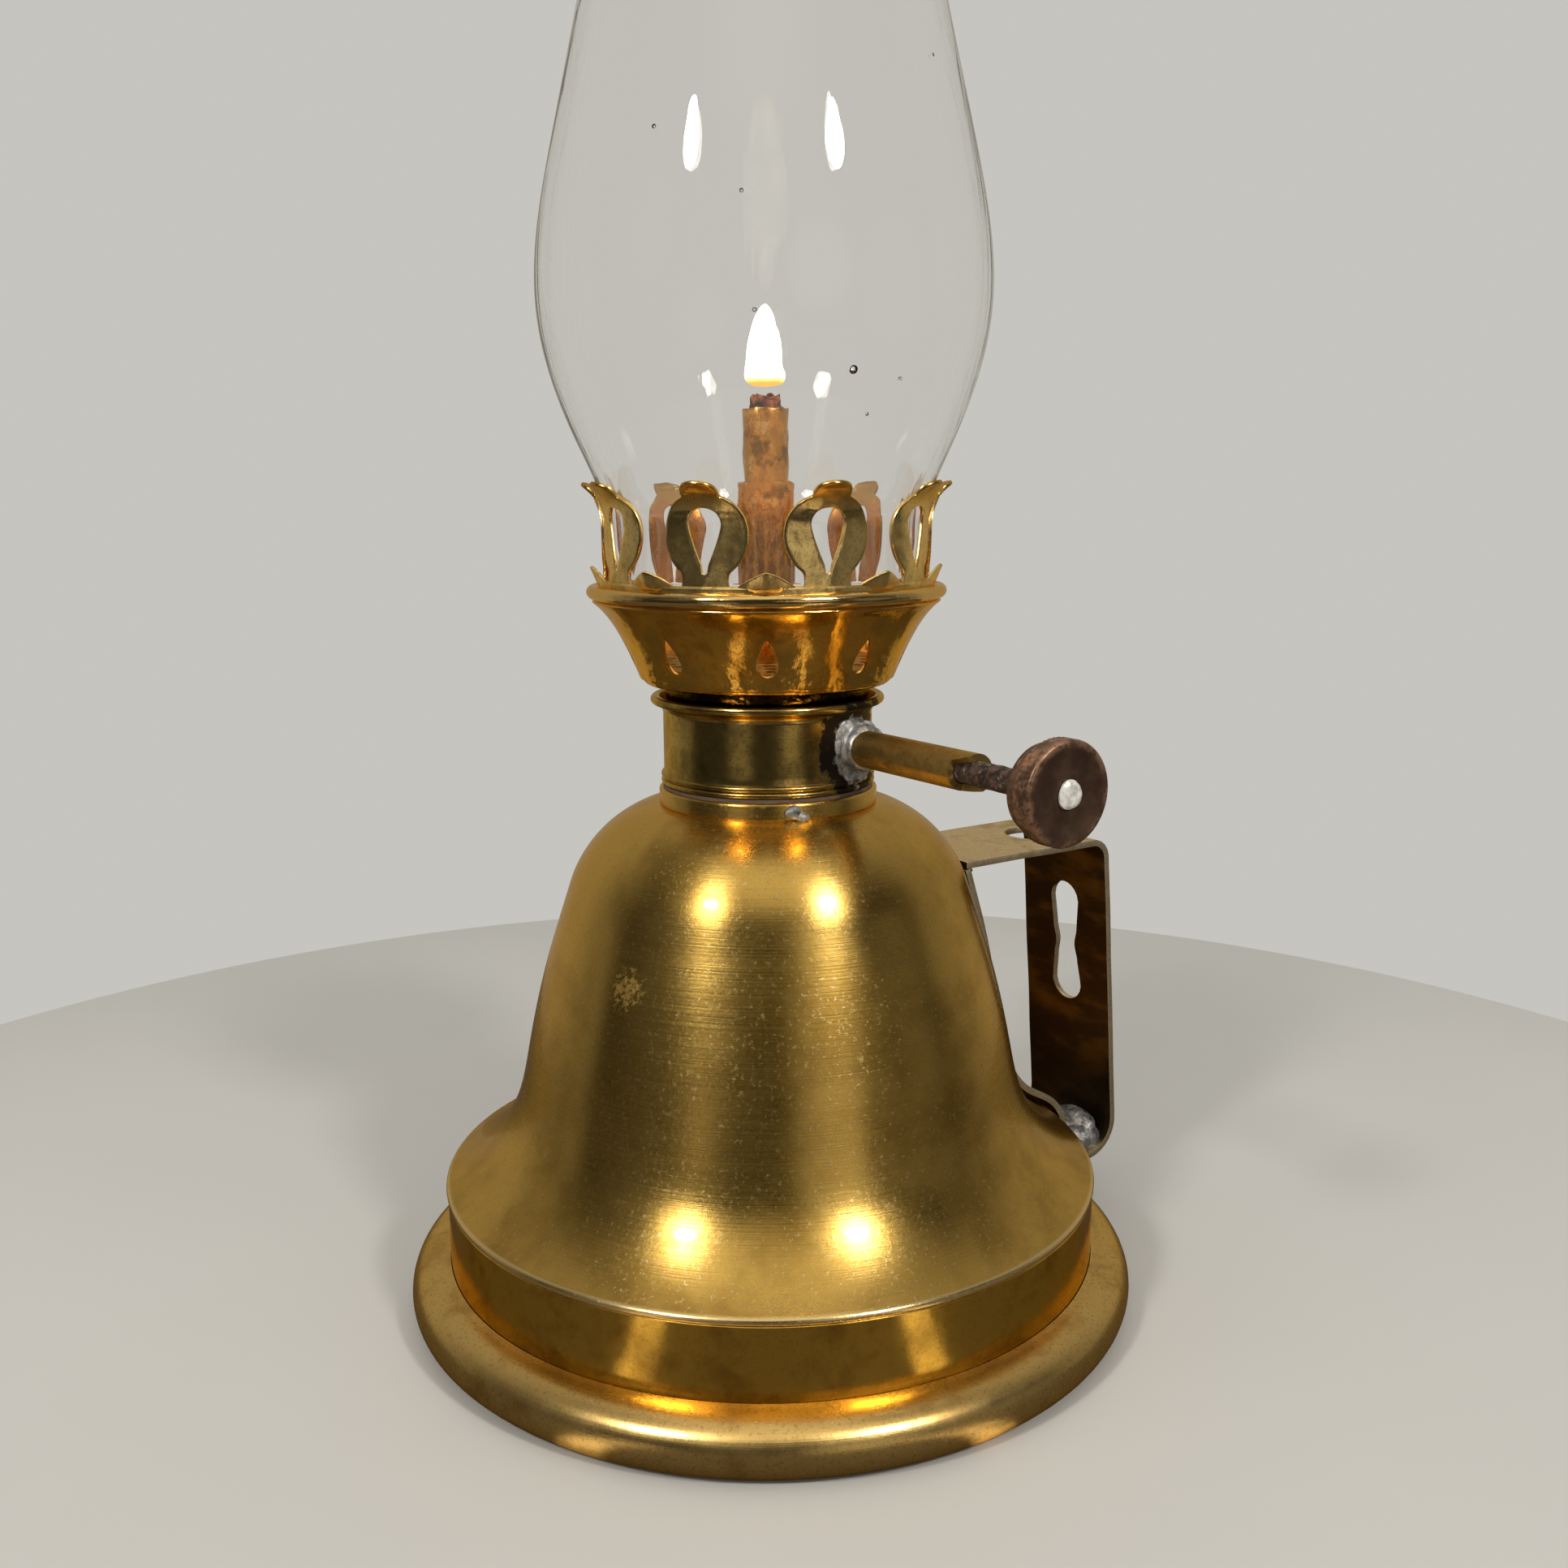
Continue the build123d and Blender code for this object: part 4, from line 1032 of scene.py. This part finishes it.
def make_crown():
    """Strip inside the rim with pierced prongs, curled out at their tips, and folded tabs."""
    profile = np.array([(20.0, 90.6), (20.0, 95.0), (19.95, 98.0)] + smooth(
        [(19.95, 99.8), (20.2, 101.4), (20.95, 102.9), (22.1, 104.1), (23.7, 104.9)], 22, start=(0, 1), end=(1, 0.3)
    ))
    lengths = lengths_along(profile)

    def place(u, v, angle, seed):
        """u across the prong and v up it; v is the height it would have if it were flat."""
        radius, height = (np.interp(v - profile[0][1], lengths, profile[:, axis]) for axis in (0, 1))
        up = max(0.0, (v - 94) / 8)
        lean = 0.35 * noise.noise(Vector((seed, 1.0, 0.0))) * up
        twist = 0.22 * noise.noise(Vector((seed, 7.0, 0.0))) * u / 4 * up
        dish = 0.10 * (1 - min(1.0, abs(u) / 4.6) ** 2)
        return around(radius + lean + twist + dish * (v < 101.5), angle + u / 20.0, height)

    def in_prong(u, v):
        ring = hypot(u, v - 98.9) - 5.05
        foot = max(0.0, (94.6 - v) / 2.6)
        half = 2.6 + 2.4 * limited((v - 93.2) / 5.4) ** 1.7 + 0.5 * foot ** 2
        lobe = hypot(u, v - 104.05) - 2.05
        body = min(ring, max(abs(u) - half, v - 98.9, 91.4 - v))
        blend = max(0.35 - abs(body - lobe), 0.0)
        return min(body, lobe) - blend * blend * 0.35 < 0

    def in_hole(u, v):
        y = v - 100.1
        if y > 0:
            return hypot(u, y) < 1.95
        return hypot(u, y + 4.9) < 0.55 or (y > -5.4 and abs(u) < 1.95 * (1 - (-y / 5.4) ** 1.3))

    rays, centre = 96, (0.0, 99.3)
    directions = [(cos(2 * pi * i / rays), sin(2 * pi * i / rays)) for i in range(rays)]
    outer, inner = (outline_of(inside, centre, directions) for inside in (in_prong, in_hole))
    prongs = round_gallery(PRONG_ANGLE, lambda angle, number: patch(
        outer, inner, 7, lambda u, v: place(u, v, angle, number * 2.3)))
    finish_piece(thickened("prongs", prongs, 0.45), "gallery", "crown_brass", "gallery_crown")

    def tab(angle, number):
        """A peaked tab, creased down its middle and tipped over the rim."""
        rise = 2.3 * (1 - 0.12 * noise.noise(Vector((number * 1.9, 0.0, 0.0))))

        def fold(across, v):
            u = -1 + 2 * across
            out = 20.25 + (0.95 * v + 0.35) * (1 - abs(u))
            return around(out, angle + u * 3.3 / 20.0, 92.6 + rise * v * (1 - 0.75 * abs(u) ** 1.3))

        return grid(16, 6, fold)

    tabs = round_gallery(VENT_ANGLE, tab)
    finish_piece(thickened("tabs", tabs, 0.4, sharp=40), "gallery", "crown_brass")
    strip = [(17.6, 92.4), (20.2, 92.4), (20.25, 91.2), (20.7, 91.2), (20.7, 93.0), (20.5, 93.25), (20.0, 93.3),
             (19.7, 92.9), (17.6, 92.9)]
    finish_piece(turned("crown_strip", strip, 224), "gallery", "crown_brass")


# ------------------------------------------------------------------ chimney

def make_chimney():
    """Blown glass with an uneven wall and a few seeds in it."""
    low, high = cad_size("chimney_glass")
    wall, half, fitter, flue, neck = 1.3, 0.65, 19.4, 13.5, high.z - 12.0
    bulb = smooth([(fitter, 99.0), (22.6, 109.0), (27.1, 124.5), (24.5, 145.0), (18.3, 173.0), (flue, 208.0)],
                  110, start=(0, 1), end=(0, 1))
    foot = (fitter - half, low.z + half)
    outline = arc(foot, half, -90, 0, 5) + bulb + [(flue, neck), (flue, high.z - half)]
    outline += arc((flue - half, high.z - half), half, 0, 180, 10)[1:] + [(flue - wall, neck)]
    outline += shifted(bulb, wall)[::-1] + [(fitter - wall, low.z + half)] + arc(foot, half, 180, 270, 5)[:-1]

    def blown(angle, radius, height):
        return radius + 0.22 * limited((height - 104.0) / 10.0) * ripple(angle, 0.8, height * 0.02), height

    piece = turned("glass_chimney", outline, 256, shape=blown)
    work = bmesh.new()
    work.from_mesh(piece.data)
    # Side in degrees, height and radius of each bubble.
    for side, height, size in (
        (-101, 116.5, 0.5), (-128, 134.0, 0.22), (-95, 112.0, 0.2), (-150, 141.0, 0.25), (60, 128.0, 0.3),
        (10, 118.0, 0.22), (150, 131.0, 0.28), (-70, 150.0, 0.2),
    ):
        radius = float(np.interp(height, [z for _, z in bulb], [r for r, _ in bulb])) - half
        place = Matrix.Translation(Vector(around(radius, radians(side), height)) * MM)
        made = bmesh.ops.create_icosphere(work, subdivisions=3, radius=size * MM, matrix=place)
        faces = {face for vertex in made["verts"] for face in vertex.link_faces}
        for face in faces:
            face.smooth = True
        bmesh.ops.reverse_faces(work, faces=list(faces))
    work.to_mesh(piece.data)
    work.free()
    finish_piece(piece, "chimney", "clear_glass", "chimney_glass")


# ------------------------------------------------------------------ make everything

for make in (make_bell, make_foot, make_collar, make_handle, make_handle_solder, make_burner, make_thread,
             make_wick_tubes, make_winder, make_winder_solder, make_wick, make_flame, make_bowl, make_crown,
             make_chimney):
    make()

# Pieces that keep their CAD shape only take a finish.
kept = {row["node"]: row["material_slot"] for row in frame["record"]["subparts"]}
for name in ("font_floor", "base_plate", "collar_gasket", "burner_deck", "spur_bracket", "spur_wheel", "air_screen"):
    nodes[name].data.materials.clear()
    nodes[name].data.materials.append(looks[kept[name]].material)


# ------------------------------------------------------------------ stage

def make_floor():
    """Plain pale round table top. The metal mirrors it darker than it looks, with two bright wedges painted in as
    the lamps' reflections on the table.
    """
    edge = arc((184.0, -1.5), 1.5, 90, -90, 8)
    floor = turned("table_top", [(0.1, 0.0), (60.0, 0.0), (120.0, 0.0)] + edge + [(0.1, -3.0)], 256)
    look = Look("table_top", roughness=0.6)
    pale = look.mix(look.noise(9.0, 4.0), (0.50, 0.49, 0.465), (0.56, 0.55, 0.525))
    grain = look.span(look.noise(120.0, 3.0, 0.6), 0.38, 0.55, 0.35, 1.0)
    dark = (0.085, 0.072, 0.055)
    # Painted reflections: two bright wedges, seen only in the metal, stand for the lamps' glints on the table.
    for swing in (-28.0, 33.0):
        turn = radians(CAMERA_SIDE + swing)
        near = look.vector("DOT_PRODUCT", look.level(), (cos(turn), sin(turn), 0.0), "Value")
        share = look.calc("MULTIPLY", look.span(near, 0.9965, 0.9998), grain)
        dark = look.mix(share, dark, (1.0, 0.87, 0.66))
    look.set(base_color=look.mix(look.mirrored(), pale, dark), specular_ior_level=0.2)
    floor.data.materials.append(look.material)


def make_world():
    """Plain pale surroundings. Metal mirrors a dimmer room with a few soft bright patches in it."""
    world = bpy.data.worlds.new("studio")
    world.use_nodes = True
    bpy.context.scene.world = world
    sky = Tree(world.node_tree)
    light = 0.022
    # Swing from the viewer's side, height above the horizon, half width, all in degrees, and brightness.
    for swing, rise, width, brightness in (
        (180, 10, 78, 0.34), (0, 90, 42, 0.24), (0, 68, 27, 0.74), (68, 2, 18, 0.14), (-62, 16, 15, 0.07),
        (-104, 0, 16, 0.20), (104, 8, 14, 0.22), (26, 5, 15, 0.46), (-30, -13, 12, 0.22), (20, 30, 8, 0.12),
    ):
        angle, up = radians(swing + CAMERA_SIDE), radians(rise)
        toward = (cos(angle) * cos(up), sin(angle) * cos(up), sin(up))
        near = sky.vector("DOT_PRODUCT", sky.places["Generated"], toward, "Value")
        lit = sky.span(near, cos(radians(width * 1.35)), cos(radians(width * 0.6)), 0.0, brightness)
        light = sky.calc("MAXIMUM", lit, light)
    room = sky.mix(light, (0.0, 0.0, 0.0), (1.06, 0.97, 0.78))
    sky.feed(sky.tree.nodes["Background"].inputs["Color"], sky.mix(sky.mirrored(), (0.565, 0.555, 0.525), room))


def make_light(name, kind, place, **settings):
    """A light that points at the lamp."""
    light = bpy.data.lights.new(name, kind)
    for key, value in settings.items():
        setattr(light, key, value)
    holder = new_object(name, light)
    holder.location = Vector(place) * MM
    holder.rotation_euler = (Vector((0, 0, 60)) - Vector(place)).to_track_quat("-Z", "Y").to_euler()


def make_lights():
    """Two soft lamps high in front, left and right, a wide fill overhead and the flame's own glow."""
    for name, swing in (("key_left", -38), ("key_right", 38)):
        make_light(name, "AREA", around(500, radians(CAMERA_SIDE + swing), 460), energy=1.6, size=0.085,
                   shape="DISK", color=(1.0, 0.97, 0.92))
    make_light("fill", "AREA", (300, 500, 1700), energy=1.6, size=1.2)
    low, high = flame_span()
    make_light("flame_glow", "POINT", (0, 0, low + (high - low) * 0.4), energy=0.035, shadow_soft_size=0.002,
               color=(1.0, 0.55, 0.2))


def make_camera():
    """The photograph's viewpoint: just over a hand's length away, a little above the flame's tube, with the
    handle behind the right side and the knob in front of it."""
    swing = radians(-90.0 - CAMERA_SIDE)
    distance, height = 193.8, 104.0
    pitch, yaw, roll = radians(10.77), radians(0.6), radians(-0.3)
    data = bpy.data.cameras.new("view")
    data.sensor_width, data.lens, data.clip_start = 36.0, 36.0 * 1914 / 1932, 0.01
    camera = new_object("view", data)
    camera.location = Vector((-distance * sin(swing), -distance * cos(swing), height)) * MM
    turn = Matrix.Rotation(-swing - yaw, 4, "Z") @ Matrix.Rotation(pi / 2 - pitch, 4, "X")
    camera.rotation_euler = (turn @ Matrix.Rotation(roll, 4, "Z")).to_euler()
    bpy.context.scene.camera = camera


make_floor()
make_world()
make_lights()
make_camera()

scene = bpy.context.scene
scene.view_settings.view_transform = "Standard"
